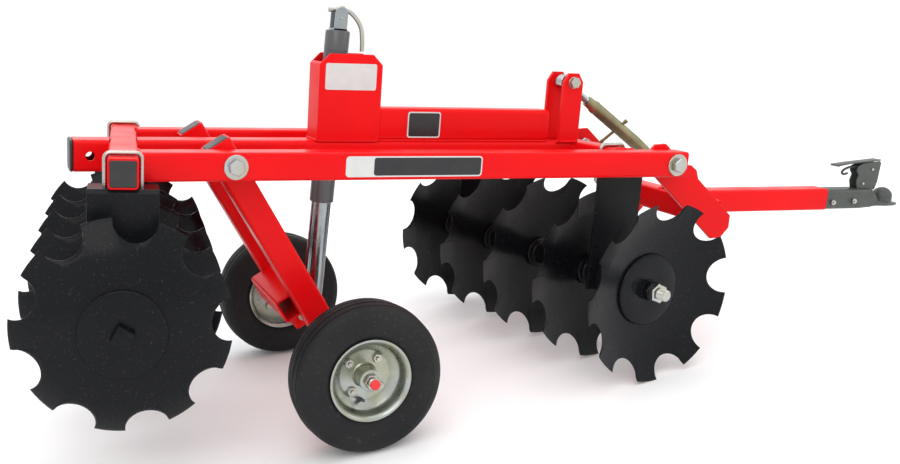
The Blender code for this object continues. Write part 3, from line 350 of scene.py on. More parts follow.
def hexagon(across, start, end):
    """A hexagon nut or bolt head along Y with its corners chamfered at both ends."""
    bm = bmesh.new()
    radius = across / math.sqrt(3)
    chamfer = across * 0.07
    rows = []
    for y, shrink in ((start, 0.9), (start + chamfer, 1), (end - chamfer, 1), (end, 0.9)):
        rows.append(ring(bm, [(radius * shrink * math.cos(math.pi / 3 * k), y,
                               radius * shrink * math.sin(math.pi / 3 * k)) for k in range(6)]))
    for first, second in zip(rows, rows[1:]):
        bridge(bm, first, second)
    bm.faces.new(rows[0])
    bm.faces.new(rows[-1])
    return bm


def plate(outline, low, high):
    """An (x, z) outline extruded along Y."""
    bm = bmesh.new()
    near = ring(bm, [(x, low, z) for x, z in outline])
    far = ring(bm, [(x, high, z) for x, z in outline])
    bridge(bm, near, far)
    bm.faces.new(near)
    bm.faces.new(far)
    return bm


def box(low, high):
    outline = [(low[0], low[2]), (high[0], low[2]), (high[0], high[2]), (low[0], high[2])]
    return plate(outline, low[1], high[1])


def arc(middle, radius, start, end, steps):
    """(x, z) points on an arc, in degrees from +X towards +Z."""
    turns = [math.radians(start + (end - start) * k / steps) for k in range(steps + 1)]
    return [(middle[0] + radius * math.cos(t), middle[1] + radius * math.sin(t)) for t in turns]


def sweep(points, radius, sides=20):
    """A round section along points. radius is a number, or a function of the ring's place from 0 to 1."""
    bm = bmesh.new()
    rings = []
    points = [Vector(p) for p in points]
    reference = Vector((0.13, 1, 0.07)).normalized()
    straight = (points[-1] - points[0]).normalized()
    if abs(straight.dot(reference)) > 0.9:
        reference = Vector((1, 0.1, 0.2)).normalized()
    for i, point in enumerate(points):
        way = (points[min(i + 1, len(points) - 1)] - points[max(i - 1, 0)]).normalized()
        side = way.cross(reference).normalized()
        up = side.cross(way)
        size = radius(i / (len(points) - 1)) if callable(radius) else radius
        turns = [2 * math.pi * k / sides for k in range(sides)]
        rings.append(ring(bm, [point + (side * math.cos(t) + up * math.sin(t)) * size for t in turns]))
    for first, second in zip(rings, rings[1:]):
        bridge(bm, first, second)
    bm.faces.new(rings[0])
    bm.faces.new(rings[-1])
    return bm


def smooth_path(points, steps=6):
    """A Catmull-Rom curve through points."""
    points = [Vector(p) for p in points]
    padded = [2 * points[0] - points[1]] + points + [2 * points[-1] - points[-2]]
    result = []
    for i in range(1, len(padded) - 2):
        a, b, c, d = padded[i - 1:i + 3]
        for k in range(steps):
            t = k / steps
            result.append(0.5 * (2 * b + (c - a) * t + (2 * a - 5 * b + 4 * c - d) * t * t
                                 + (3 * b - a - 3 * c + d) * t ** 3))
    return result + [points[-1]]


def placed(bm, matrix):
    bm.transform(matrix)
    return bm


def on_side(bm, side):
    """A shape drawn on the left side, mirrored where side is -1."""
    bmesh.ops.scale(bm, vec=(1, side, 1), verts=bm.verts)
    return bm


def joined(shapes):
    bm = bmesh.new()
    for shape in shapes:
        mesh = bpy.data.meshes.new("part")
        shape.to_mesh(mesh)
        shape.free()
        bm.from_mesh(mesh)
        bpy.data.meshes.remove(mesh)
    return bm


def piece(name, bm, body, matrix, look, nodes=(), bevel=0.0, angle=32):
    """A finished piece that rides on a body, in place of the CAD nodes it stands for."""
    bm.transform(matrix)
    bmesh.ops.recalc_face_normals(bm, faces=bm.faces)
    mesh = bpy.data.meshes.new(name)
    bm.to_mesh(mesh)
    bm.free()
    mesh.shade_smooth()
    mesh.set_sharp_from_angle(angle=math.radians(angle))
    mesh.materials.append(look)
    made = bpy.data.objects.new(name, mesh)
    bpy.context.scene.collection.objects.link(made)
    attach(made, body)
    if nodes:
        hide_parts(*nodes)
    if bevel:
        ease_edges(made, bevel)
    return made


def red(name, bm, body, matrix, nodes=(), bevel=0.0, angle=32):
    """A piece in the frame's paint."""
    return piece(name, bm, body, matrix, RED, nodes, bevel, angle)


def zinc(name, bm, body, matrix, nodes=(), angle=32):
    return piece(name, bm, body, matrix, ZINC, nodes, angle=angle)


def ease_edges(obj, width):
    modifier = obj.modifiers.new("Eased edges", "BEVEL")
    modifier.width = width
    modifier.segments = 3
    modifier.limit_method = "ANGLE"
    modifier.angle_limit = math.radians(40)
    modifier.harden_normals = True


def cut(obj, bm, matrix):
    """Takes a shape out of a piece for good, so that the hole stays in its place when the piece moves."""
    bm.transform(matrix)
    bmesh.ops.recalc_face_normals(bm, faces=bm.faces)
    mesh = bpy.data.meshes.new("cutter")
    bm.to_mesh(mesh)
    bm.free()
    tool = bpy.data.objects.new("cutter", mesh)
    bpy.context.scene.collection.objects.link(tool)
    modifier = obj.modifiers.new("Cut", "BOOLEAN")
    modifier.operation = "DIFFERENCE"
    modifier.solver = "EXACT"
    modifier.object = tool
    bpy.context.view_layer.update()
    depsgraph = bpy.context.evaluated_depsgraph_get()
    result = bpy.data.meshes.new_from_object(obj.evaluated_get(depsgraph), depsgraph=depsgraph)
    obj.modifiers.remove(modifier)
    obj.data = result
    result.set_sharp_from_angle(angle=math.radians(32))
    bpy.data.objects.remove(tool)
    bpy.data.meshes.remove(mesh)


def bead(start, end, radius=WELD):
    """A weld bead with ripples, from start to end."""
    start, end = Vector(start), Vector(end)
    length = (end - start).length
    count = max(int(length / 0.0022), 6)
    points = []
    for k in range(count + 1):
        point = start.lerp(end, k / count)
        drift = noise.noise_vector(point * 60) * 0.0007
        points.append(point + drift)

    def size(share):
        taper = min(1, share * count / 2 + 0.35, (1 - share) * count / 2 + 0.35)
        return radius * taper * (1 + 0.13 * math.sin(share * length / 0.0058 * 2 * math.pi))

    return sweep(points, size, 8)


def beads_round(corners, radius=WELD):
    """Beads along a closed run of corners."""
    return [bead(a, b, radius) for a, b in zip(corners, corners[1:] + corners[:1])]


def sticker(width, height, radius, thick=0.0003):
    """A thin rounded label in the XZ plane that faces -Y."""
    return plate(rounded(width, height, radius, 6), -thick, 0)


# ---------------------------------------------------------------- frame

def tube_face(point, angle, side):
    def x_at(y):
        return point.x + (side * (TUBE / 2 + GAP) + (y - point.y) * math.sin(angle)) / math.cos(angle)
    return x_at


def shifted(x_at, offset):
    return lambda y: x_at(y + offset)


def rear_axis_point(y):
    return REAR_END + along_axle(REAR_ANGLE) * ((y - REAR_END.y) / math.cos(REAR_ANGLE))


def tubes():
    rear_face = tube_face(REAR_END, REAR_ANGLE, 1)
    front_rear = tube_face(FRONT_POINT, FRONT_ANGLE, -1)
    front_front = tube_face(FRONT_POINT, FRONT_ANGLE, 1)
    for name, y, start, end in (
        ("right_rail", -RAIL_Y, shifted(rear_face, -RAIL_Y), at(RAIL_FRONT)),
        ("left_rail", RAIL_Y, shifted(rear_face, RAIL_Y), shifted(front_rear, RAIL_Y)),
        ("left_rail_front", RAIL_Y, shifted(front_front, RAIL_Y), at(RAIL_FRONT)),
    ):
        bm = square_tube(TUBE, TUBE, TUBE_WALL, start, end)
        red(f"look_{name}", bm, "root", level(0, y, RAIL_Z), [name])

    spine_z = RAIL_TOP - SPINE / 2
    bm = square_tube(SPINE, SPINE, SPINE_WALL, at(SPINE_REAR), front_rear)
    spine = red("look_spine", bm, "root", level(0, 0, spine_z), ["spine"])
    notch = TUBE + 2 * GAP
    crossing = rear_axis_point(0)
    cut(spine, box((-notch / 2, -SPINE, -notch / 2), (notch / 2, SPINE, notch)),
        level(crossing.x, 0, RAIL_Z) @ turn(-REAR_ANGLE, "Z"))
    slot_half = JACK_OUTER / 2 + 0.004
    slot_front = MAST_REAR + MAST_LENGTH - MAST_WALL
    under = RAIL_TOP - 2 * SPINE
    for rear, front, top in ((MAST_REAR, slot_front, RAIL_TOP + SPINE),
                             (slot_front - 0.02, slot_front + SPINE_WALL + 0.014, RAIL_TOP - 0.6 * SPINE)):
        cut(spine, box((rear, -slot_half, under), (front, slot_half, top)), LEVEL)
    cut(spine, disc(HITCH_HOLE / 2, -SPINE, SPINE), level(SPINE_REAR + HITCH_HOLE_PAST, 0, spine_z))
    cap = plug(SPINE, SPINE, 2 * SPINE_WALL, SPINE_REAR - GAP - 0.01, SPINE_REAR - GAP, 0.003)
    inside = SPINE - 2 * SPINE_WALL - 0.001
    lip = plug(inside, inside, SPINE_WALL, SPINE_REAR - 0.001, SPINE_REAR + 0.01)
    piece("look_spine_cap", joined([cap, lip]), "root", level(0, 0, spine_z), CAP,
          ["spine_cap"])

    quarter = math.pi / 2
    rear = level(*REAR_END.xy, RAIL_Z) @ turn(quarter - REAR_ANGLE, "Z")
    bm = square_tube(TUBE, TUBE, TUBE_WALL, at(0), at(REAR_TUBE))
    red("look_rear_gang_tube", bm, "root", rear, ["rear_gang_tube"])
    near_y = -(FRAME_WIDTH / 2 - TUBE - GAP)
    drop = (near_y - FRONT_POINT.y) / math.cos(FRONT_ANGLE)
    length = HANGER_SPACING + FRONT_TUBE_PAST
    front = level(*FRONT_POINT.xy, RAIL_Z) @ turn(quarter - FRONT_ANGLE, "Z")
    bm = square_tube(TUBE, TUBE, TUBE_WALL, lambda u: drop - u * math.tan(FRONT_ANGLE), at(length))
    red("look_front_gang_tube", bm, "root", front, ["front_gang_tube"])

    inner = TUBE - 2 * TUBE_WALL - 0.0006
    caps = []
    for matrix, x, way in ((rear, 0, -1), (rear, REAR_TUBE, 1), (front, length, 1)):
        low, high = sorted((x - way * CAP_LIP, x + way * 0.0022))
        caps.append(placed(plug(inner, inner, TUBE_WALL, low, high), matrix))
    for y in (-RAIL_Y, RAIL_Y):
        caps.append(placed(plug(inner, inner, TUBE_WALL, RAIL_FRONT - CAP_LIP, RAIL_FRONT + 0.002),
                           level(0, y, RAIL_Z)))
    piece("tube_end_caps", joined(caps), "root", Matrix(), CAP)


def mast_and_lugs():
    base = RAIL_TOP + GAP
    top = RAIL_TOP + MAST_HEIGHT
    front = MAST_REAR + MAST_LENGTH
    outline = [(MAST_REAR, base), (front, base), (front, top - MAST_CHAMFER), (front - MAST_CHAMFER, top),
               (MAST_REAR + MAST_CHAMFER, top), (MAST_REAR, top - MAST_CHAMFER)]
    bm = plate(outline, -MAST_WIDTH / 2, MAST_WIDTH / 2)
    mast = red("look_mast", bm, "root", LEVEL, ["mast"])
    half = MAST_WIDTH / 2 - MAST_WALL
    cut(mast, box((MAST_REAR + MAST_WALL, -half, base - 0.1), (front - MAST_WALL, half, top + 0.1)), LEVEL)
    ease_edges(mast, 0.0022)

    bm = square_tube(TUBE, BEAM_HEIGHT - GAP, SPINE_WALL, at(front + GAP), at(BEAM_FRONT))
    matrix = level(0, 0, base + (BEAM_HEIGHT - GAP) / 2)
    red("look_top_beam", bm, "root", matrix, ["top_beam"])
    inner = plug(TUBE - 2 * SPINE_WALL - 0.0006, BEAM_HEIGHT - 2 * SPINE_WALL - 0.001, SPINE_WALL,
                 BEAM_FRONT - 0.006, BEAM_FRONT - 0.001)
    red("beam_end_plate", inner, "root", matrix)

    lug_top = RAIL_TOP + LUG_HEIGHT
    lug_front = LUG_REAR + LUG_LENGTH
    chamfer = LUG_LENGTH / 4
    outline = [(LUG_REAR, base), (lug_front, base), (lug_front, lug_top - 1.6 * chamfer),
               (lug_front - chamfer, lug_top), (LUG_REAR + chamfer, lug_top),
               (LUG_REAR, lug_top - 1.6 * chamfer)]
    for name, side in (("right_lug", -1), ("left_lug", 1)):
        low, high = between(side, LUG_GAP / 2, LUG_GAP / 2 + LUG_THICK)
        red(f"look_{name}", plate(outline, low, high), "root", LEVEL, [name], 0.0012)
    outside = LUG_GAP / 2 + LUG_THICK + GAP
    bolt = [
        rod(PIN / 2, -outside - 0.002, outside + 0.012),
        threaded(PIN / 2, outside + 0.012, outside + 0.02),
        hexagon(0.031, -outside - 0.0145, -outside - 0.002),
        rod(0.0185, -outside - 0.0025, -outside),
        hexagon(0.031, outside + 0.0025, outside + 0.0145),
        rod(0.0185, outside, outside + 0.0025),
    ]
    zinc("look_lug_bolt", joined(bolt), "root", level(LUG_PIN[0], 0, LUG_PIN[1]), ["lug_pin"])


def frame_welds():
    beads = []
    base = RAIL_TOP + 0.001
    front = MAST_REAR + MAST_LENGTH
    half = MAST_WIDTH / 2
    beads += beads_round([(MAST_REAR, -half + 0.004, base), (front, -half + 0.004, base),
                          (front, half - 0.004, base), (MAST_REAR, half - 0.004, base)], 0.0045)
    side = TUBE / 2 - 0.006
    for y in (-side - 0.005, side + 0.005):
        beads.append(bead((front, y, base + 0.012), (front, y, base + BEAM_HEIGHT - 0.01)))
    beads.append(bead((front, -side, base + BEAM_HEIGHT), (front, side, base + BEAM_HEIGHT)))
    for y in (-side - 0.006, side + 0.006):
        beads.append(bead((front + 0.004, y, base), (BEAM_FRONT, y, base), 0.0038))
    for way in (-1, 1):
        y = way * (LUG_GAP / 2 + LUG_THICK)
        seam = y - way * 0.001
        beads.append(bead((LUG_REAR + 0.003, seam, base), (LUG_REAR + LUG_LENGTH - 0.003, seam, base)))
        for x in (LUG_REAR, LUG_REAR + LUG_LENGTH):
            beads.append(bead((x, way * (LUG_GAP / 2 + 0.002), base), (x, y - way * 0.002, base), 0.004))
    rear_face = tube_face(REAR_END, REAR_ANGLE, 1)
    rear_back = tube_face(REAR_END, REAR_ANGLE, -1)
    front_rear = tube_face(FRONT_POINT, FRONT_ANGLE, -1)
    front_front = tube_face(FRONT_POINT, FRONT_ANGLE, 1)
    low, high = RAIL_TOP - TUBE + 0.008, RAIL_TOP - 0.008

    def across_joint(x_at, y_low, y_high):
        start, end = y_low + 0.008, y_high - 0.008
        for z in (RAIL_TOP - 0.0005, RAIL_TOP - TUBE + 0.0005):
            beads.append(bead((x_at(start), start, z), (x_at(end), end, z)))
        for y in (y_low, y_high):
            beads.append(bead((x_at(y), y, low), (x_at(y), y, high)))

    inner, outer = FRAME_WIDTH / 2 - TUBE, FRAME_WIDTH / 2
    across_joint(rear_face, -outer, -inner)
    across_joint(rear_face, inner, outer)
    across_joint(front_rear, inner, outer)
    across_joint(front_front, inner, outer)
    across_joint(front_rear, -SPINE / 2, SPINE / 2)
    for x_at in (rear_face, rear_back):
        for y in (-SPINE / 2, SPINE / 2):
            beads.append(bead((x_at(y), y, low), (x_at(y), y, high)))
    for x_at in (front_rear, front_front):
        beads.append(bead((x_at(-inner), -inner, low), (x_at(-inner), -inner, high)))
    beads.append(bead((front_rear(-inner) + 0.006, -inner, RAIL_TOP - 0.0005),
                      (front_front(-inner) - 0.006, -inner, RAIL_TOP - 0.0005)))
    red("frame_weld_beads", joined(beads), "root", LEVEL, angle=60)


def labels():
    """Plain stickers where the maker's signs are: none carries words."""
    def stick(name, x, y, z, size, corner, look):
        piece(name, sticker(*size, corner), "root", level(x, y, z), look)

    stick("mast_label", 0.177, -MAST_WIDTH / 2 - LABEL_LIFT, 0.986, (0.158, 0.076), 0.006, LABEL)
    near = -FRAME_WIDTH / 2 - 0.0003
    middle, length, height, border = 0.286, 0.408, 0.057, 0.004
    dark = 0.8 * length - border
    dark_middle = middle + length / 2 - border - dark / 2
    stick("rail_decal_border", middle, near, RAIL_Z, (length, height), 0.01, LABEL)
    stick("rail_decal", dark_middle, near - LABEL_LIFT, RAIL_Z, (dark, height - 2 * border), 0.007, DECAL)
    beside = -TUBE / 2 - LABEL_LIFT
    z = RAIL_TOP + BEAM_HEIGHT / 2
    stick("beam_decal_border", 0.4225, beside, z, (0.108, 0.078), 0.008, LABEL)
    stick("beam_decal", 0.4225, beside - LABEL_LIFT, z, (0.1, 0.07), 0.006, DECAL)


def through_bolts():
    outer = FRAME_WIDTH / 2
    arm_inner = outer - TUBE - ARM_CLEARANCE - ARM - GAP
    yoke_inner = outer - TUBE - GAP - YOKE_PLATE - 0.003
    radius, washer = FRAME_BOLT / 2, FRAME_WASHER / 2
    head = outer + GAP
    for name, place, y_in in (
        ("lift_bolt", LIFT_PIVOT, arm_inner),
        ("tongue_bolt", TONGUE_PIVOT, yoke_inner),
    ):
        for hand, side in (("right", -1), ("left", 1)):
            shapes = [
                rod(radius, y_in - 0.012, head + 0.004),
                threaded(radius, y_in - 0.022, y_in - 0.01),
                lathe([(0, head), (washer - 0.001, head), (washer, head + 0.001), (washer, head + 0.0028),
                       (washer - 0.0008, head + 0.0036), (0, head + 0.0036)], 72),
                hexagon(FRAME_BOLT_HEX, head + 0.003, head + 0.0195),
                hexagon(FRAME_BOLT_HEX, y_in - 0.017, y_in - 0.0005),
            ]
            zinc(f"look_{hand}_{name}", on_side(joined(shapes), side), "root",
                 level(place[0], 0, place[1]) @ turn(0.35, "Y"), [f"{hand}_{name}"])


def u_bolts():
    drop = RAIL_TOP - TUBE - GAP
    leg = TUBE / 2 + GAP + U_BOLT / 2
    seat = HANGER_FLANGE / 2 + 0.004
    top = RAIL_TOP + GAP + U_BOLT / 2
    foot = drop - PLATE - 0.026
    bend = 0.014
    route = [(-leg, foot + 0.016 + (top - bend - foot - 0.016) * k / 10) for k in range(11)]
    route += arc((-leg + bend, top - bend), bend, 180, 90, 10)[1:]
    route += arc((leg - bend, top - bend), bend, 90, 0, 10)
    route += [(leg, top - bend - (top - bend - foot - 0.016) * k / 10) for k in range(1, 11)]
    rear_second = REAR_END + along_axle(REAR_ANGLE) * HANGER_SPACING
    front_second = FRONT_POINT + along_axle(FRONT_ANGLE) * HANGER_SPACING
    for name, point, angle in (
        ("rear_right", REAR_END, REAR_ANGLE),
        ("rear_left", rear_second, REAR_ANGLE),
        ("front_right", FRONT_POINT, FRONT_ANGLE),
        ("front_left", front_second, FRONT_ANGLE),
    ):
        shapes = [sweep([(x, seat, z) for x, z in route], U_BOLT / 2)]
        for x in (-leg, leg):
            upright = move(x, seat, 0) @ turn(math.pi / 2, "X")
            shapes.append(placed(threaded(U_BOLT / 2, foot, foot + 0.017), upright))
            shapes.append(placed(hexagon(0.02, foot + 0.006, drop - PLATE - GAP - 0.0025), upright))
            shapes.append(placed(rod(0.0125, drop - PLATE - GAP - 0.0025, drop - PLATE - GAP), upright))
        matrix = level(*point.xy, 0) @ turn(-angle, "Z")
        zinc(f"look_{name}_u_bolt", joined(shapes), "root", matrix, [f"{name}_hanger_u_bolt"])


# ---------------------------------------------------------------- gangs

def dish(radius, sense):
    span = DISC / 2 - DISC_FLAT
    sphere = (span * span + DISC_DISH * DISC_DISH) / (2 * DISC_DISH)
    out = max(radius - DISC_FLAT, 0)
    return sense * (sphere - math.sqrt(sphere * sphere - out * out))


def notched_outline(arc_points=9, bite_points=17):
    radius = DISC / 2
    step = 2 * math.pi / NOTCHES
    half = 2 * math.asin(NOTCH / (2 * radius))
    opening = math.pi - half
    points = []
    for k in range(NOTCHES):
        start, end = step * k + half, step * (k + 1) - half
        for i in range(arc_points):
            t = start + (end - start) * i / (arc_points - 1)
            points.append(Vector((radius * math.cos(t), radius * math.sin(t))))
        middle = Vector((radius * math.cos(step * (k + 1)), radius * math.sin(step * (k + 1))))
        first = points[-1] - middle
        for i in range(1, bite_points):
            points.append(middle + Matrix.Rotation(-opening * i / bite_points, 2) @ first)
    return points


def blade(sense):
    """A dished blade with round notches and a rim ground thin on its bulging side."""
    bm = bmesh.new()
    outline = notched_outline()
    ground = 0.009
    radii = [AXLE / 2 + 0.0012, 0.036, DISC_FLAT, 0.07, 0.09, BUMPER / 2, 0.13, 0.15, 0.17, 0.188, 0.203]
    sides = []
    for side in (-0.5, 0.5):
        bulging = side * sense < 0
        rows = []
        for radius in radii + [None, "rim"]:
            row = []
            for point in outline:
                full = point.length
                reach = radius if isinstance(radius, float) else (full if radius else full - ground)
                thick = side * DISC_THICK
                if radius == "rim" and bulging:
                    thick = -side * DISC_THICK * 0.55
                row.append((point.x / full * reach, dish(reach, sense) + thick, point.y / full * reach))
            rows.append(ring(bm, row))
        for first, second in zip(rows, rows[1:]):
            bridge(bm, first, second)
        sides.append(rows)
    bridge(bm, sides[0][0], sides[1][0])
    bridge(bm, sides[0][-1], sides[1][-1])
    return bm


def clamp_plate(y, way, sense):
    """Profile of an end plate from its outer edge in, crowned on a disc's hollow side."""
    radius = BUMPER / 2
    if way == sense:
        rise = abs(dish(radius, 1))
        return [(0.04, y + way * (rise + 0.0115)), (radius * 0.9, y + way * (rise + 0.0108)),
                (radius * 0.97, y + way * (rise + 0.009)), (radius, y + way * (rise + 0.0055)),
                (radius - 0.0006, y + way * (rise + 0.0015)), (DISC_FLAT, y)]
    return [(radius * 0.93, y + way * 0.01), (radius * 0.985, y + way * 0.009), (radius, y + way * 0.006),
            (radius - 0.0005, y)]


def square_head(width, start, end):
    half = width / 2
    bm = box((-half, start, -half), (half, end, half))
    bmesh.ops.bevel(bm, geom=bm.edges[:], offset=0.003, segments=3, profile=0.5, affect="EDGES")
    return bm


def gang(name, matrix, body, sense, first, phase):
    middles = [first + DISC_SPACING * k for k in range(DISC_COUNT)]
    for k, y in enumerate(middles):
        piece(f"look_{name}_disc_{k + 1}", blade(sense), body, matrix @ move(0, y, 0) @ turn(phase, "Y"),
              BLACK, [f"{name}_disc_{k + 1}"], angle=24)
    half = DISC_THICK / 2 + GAP
    flange, spool, inside = SPOOL_FLANGE / 2, SPOOL / 2, AXLE / 2
    turns = [math.pi / 2 * k / 4 for k in range(5)]
    collar = [(flange, 0), (flange, 0.011), (flange - 0.003, 0.014)]
    collar += [(spool + 0.01 * (1 - math.sin(t)), 0.016 + 0.012 * (1 - math.cos(t))) for t in turns]
    profile = [(0, middles[0] - half - 0.01)] + clamp_plate(middles[0] - half, -1, sense)
    for here, there in zip(middles, middles[1:]):
        profile += [(inside, here - half), (inside, here + half)]
        profile += [(radius, here + half + along) for radius, along in collar]
        profile += [(radius, there - half - along) for radius, along in reversed(collar)]
    profile += [(inside, middles[-1] - half), (inside, middles[-1] + half)]
    profile += clamp_plate(middles[-1] + half, 1, sense)[::-1] + [(0, middles[-1] + half + 0.01)]
    piece(f"look_{name}_axle", lathe(profile, 64), body, matrix, BLACK, [f"{name}_axle"])

    # The through-bolt: a square head on the bulging end, a lock nut, a nut and thread on the hollow end
    ends = {-1: middles[0] - half, 1: middles[-1] + half}
    flat, hollow = ends[-sense], ends[sense]

    def past(low, high):
        return sorted((hollow + sense * low, hollow + sense * high))

    low, high = sorted((flat - sense * 0.009, flat - sense * GANG_HEAD_PAST))
    piece(f"{name}_gang_bolt_head", square_head(GANG_HEAD, low, high), body, matrix @ turn(0.5, "Y"), BLACK,
          angle=50)
    lock = [hexagon(GANG_NUT, *past(0.018, 0.037)), rod(0.034, *past(0.009, 0.018))]
    piece(f"{name}_gang_lock_nut", joined(lock), body, matrix @ turn(0.15, "Y"), BLACK)
    zinc(f"{name}_gang_nut", hexagon(GANG_NUT, *past(0.0372, 0.058)), body, matrix @ turn(0.4, "Y"))
    thread = threaded(GANG_THREAD / 2, *past(0.05, GANG_THREAD_PAST), 0.003)
    zinc(f"{name}_gang_bolt_end", thread, body, matrix)


# ---------------------------------------------------------------- wheels

def tyre_shape():
    radius = TYRE / 2
    bead_r = RIM / 2 - 0.012
    side = [(bead_r, 0.026), (bead_r, 0.038), (RIM / 2 + 0.004, 0.0445), (RIM / 2 + 0.007, 0.047),
            (RIM / 2 + 0.011, 0.05), (RIM / 2 + 0.014, 0.0525), (RIM / 2 + 0.0165, 0.0528), (0.144, 0.0578),
            (0.156, 0.0603), (0.168, 0.0612), (0.178, 0.0606), (0.1795, 0.0611), (0.181, 0.0602),
            (0.188, 0.0576), (0.194, 0.054), (0.1995, 0.0492), (0.2035, 0.044)]
    tread = [(0.2052, 0.04)]
    for groove, crown in ((0.033, 0.2068), (0.011, 0.2092)):
        tread += [(crown, groove + 0.0026), (crown - 0.005, groove + 0.0016),
                  (crown - 0.005, groove - 0.0016), (crown + 0.0004, groove - 0.0026),
                  (crown + 0.0012, groove - 0.011)]
    tread[-1] = (radius, 0)
    half = side + tread
    return lathe(half + [(r, -y) for r, y in reversed(half[:-1])], 120)


def rim_shape(side):
    lip, seat = RIM / 2, RIM / 2 - 0.0123
    bore, hub = SPINDLE / 2 + 0.0008, HUB / 2
    profile = [(lip - 0.001, 0.05), (lip + 0.0008, 0.0488), (lip + 0.0006, 0.047), (lip - 0.003, 0.0455),
               (seat, 0.0385), (seat, -0.0385), (lip - 0.003, -0.0455), (lip + 0.0006, -0.047),
               (lip + 0.0008, -0.0488), (lip - 0.001, -0.05), (lip - 0.006, -0.048), (seat - 0.0035, -0.036),
               (seat - 0.0035, -0.007), (hub + 0.022, -0.012), (hub, -0.012), (hub, -0.049),
               (hub - 0.003, -0.05), (bore, -0.05), (bore, 0.047), (hub - 0.005, 0.047),
               (hub - 0.0025, 0.0455), (hub - 0.002, 0.034), (hub - 0.0015, -0.001), (hub + 0.0025, -0.0045),
               (hub + 0.036, -0.005), (hub + 0.04, -0.003), (seat - 0.016, 0.009), (seat - 0.009, 0.012),
               (seat - 0.005, 0.019), (seat - 0.0035, 0.029), (seat - 0.0035, 0.036), (lip - 0.01, 0.044),
               (lip - 0.006, 0.0484), (lip - 0.0035, 0.05)]
    return lathe([(r, side * y) for r, y in profile], 96)


def wheels():
    for name, side in (("right", -1), ("left", 1)):
        hub = LEVEL @ Vector((WHEEL_X, side * TRACK / 2, TYRE / 2))
        place = move(*hub)
        body = f"{name}_wheel"
        piece(f"look_{name}_tyre", tyre_shape(), body, place, RUBBER, [f"{name}_tyre"], angle=40)
        piece(f"look_{name}_rim", rim_shape(side), body, place, RIM_ZINC, [f"{name}_rim"], angle=40)
        bolts = []
        for k in range(4):
            turned = turn(math.radians(45 + 90 * k), "Y") @ move(HUB_BOLT_CIRCLE, 0, 0)
            low, high = between(side, -0.006, 0.0035)
            bolts.append(placed(hexagon(HUB_BOLT, low, high), turned))
            low, high = between(side, 0.003, 0.0085)
            bolts.append(placed(threaded(0.0058, low, high), turned))
            low, high = between(side, -0.021, -0.011)
            bolts.append(placed(hexagon(HUB_BOLT, low, high), turned))
        zinc(f"{name}_hub_bolts", joined(bolts), body, place)
        valve = sweep(smooth_path([(-0.018, side * -0.006, -0.069), (-0.018, side * 0.008, -0.065),
                                   (-0.018, side * 0.024, -0.062)]), lambda t: 0.0056 if t < 0.5 else 0.0044)
        piece(f"{name}_tyre_valve", valve, body, place, BRASS)
        barb = joined([rod(0.0262, *between(side, 0.0465, 0.0482))])
        piece(f"{name}_hub_seal", barb, body, place, RIM_ZINC)

        middle = TRACK / 2
        inner, outer = ARM_Y - ARM / 2 - 0.01, middle + 0.04
        shapes = [
            rod(SPINDLE / 2, inner, outer + 0.007, 0.002),
            rod(SPINDLE / 2 + SPINDLE_SLEEVE, ARM_Y + ARM / 2 + GAP, middle - 0.052, 0.002),
            hexagon(SPINDLE_NUT, outer + 0.009, outer + 0.021),
            threaded(0.012, outer + 0.006, outer + 0.032),
        ]
        bm = on_side(joined(shapes), side)
        axle = LIFT @ move(REACH, 0, 0)
        zinc(f"look_{name}_spindle", bm, "lift_frame", axle, [f"{name}_spindle"])
        low, high = between(side, outer + 0.031, outer + 0.041)
        piece(f"{name}_spindle_plug", rod(0.0138, low, high, 0.002), "lift_frame", axle, PLUG)


# ---------------------------------------------------------------- lift frame and jack

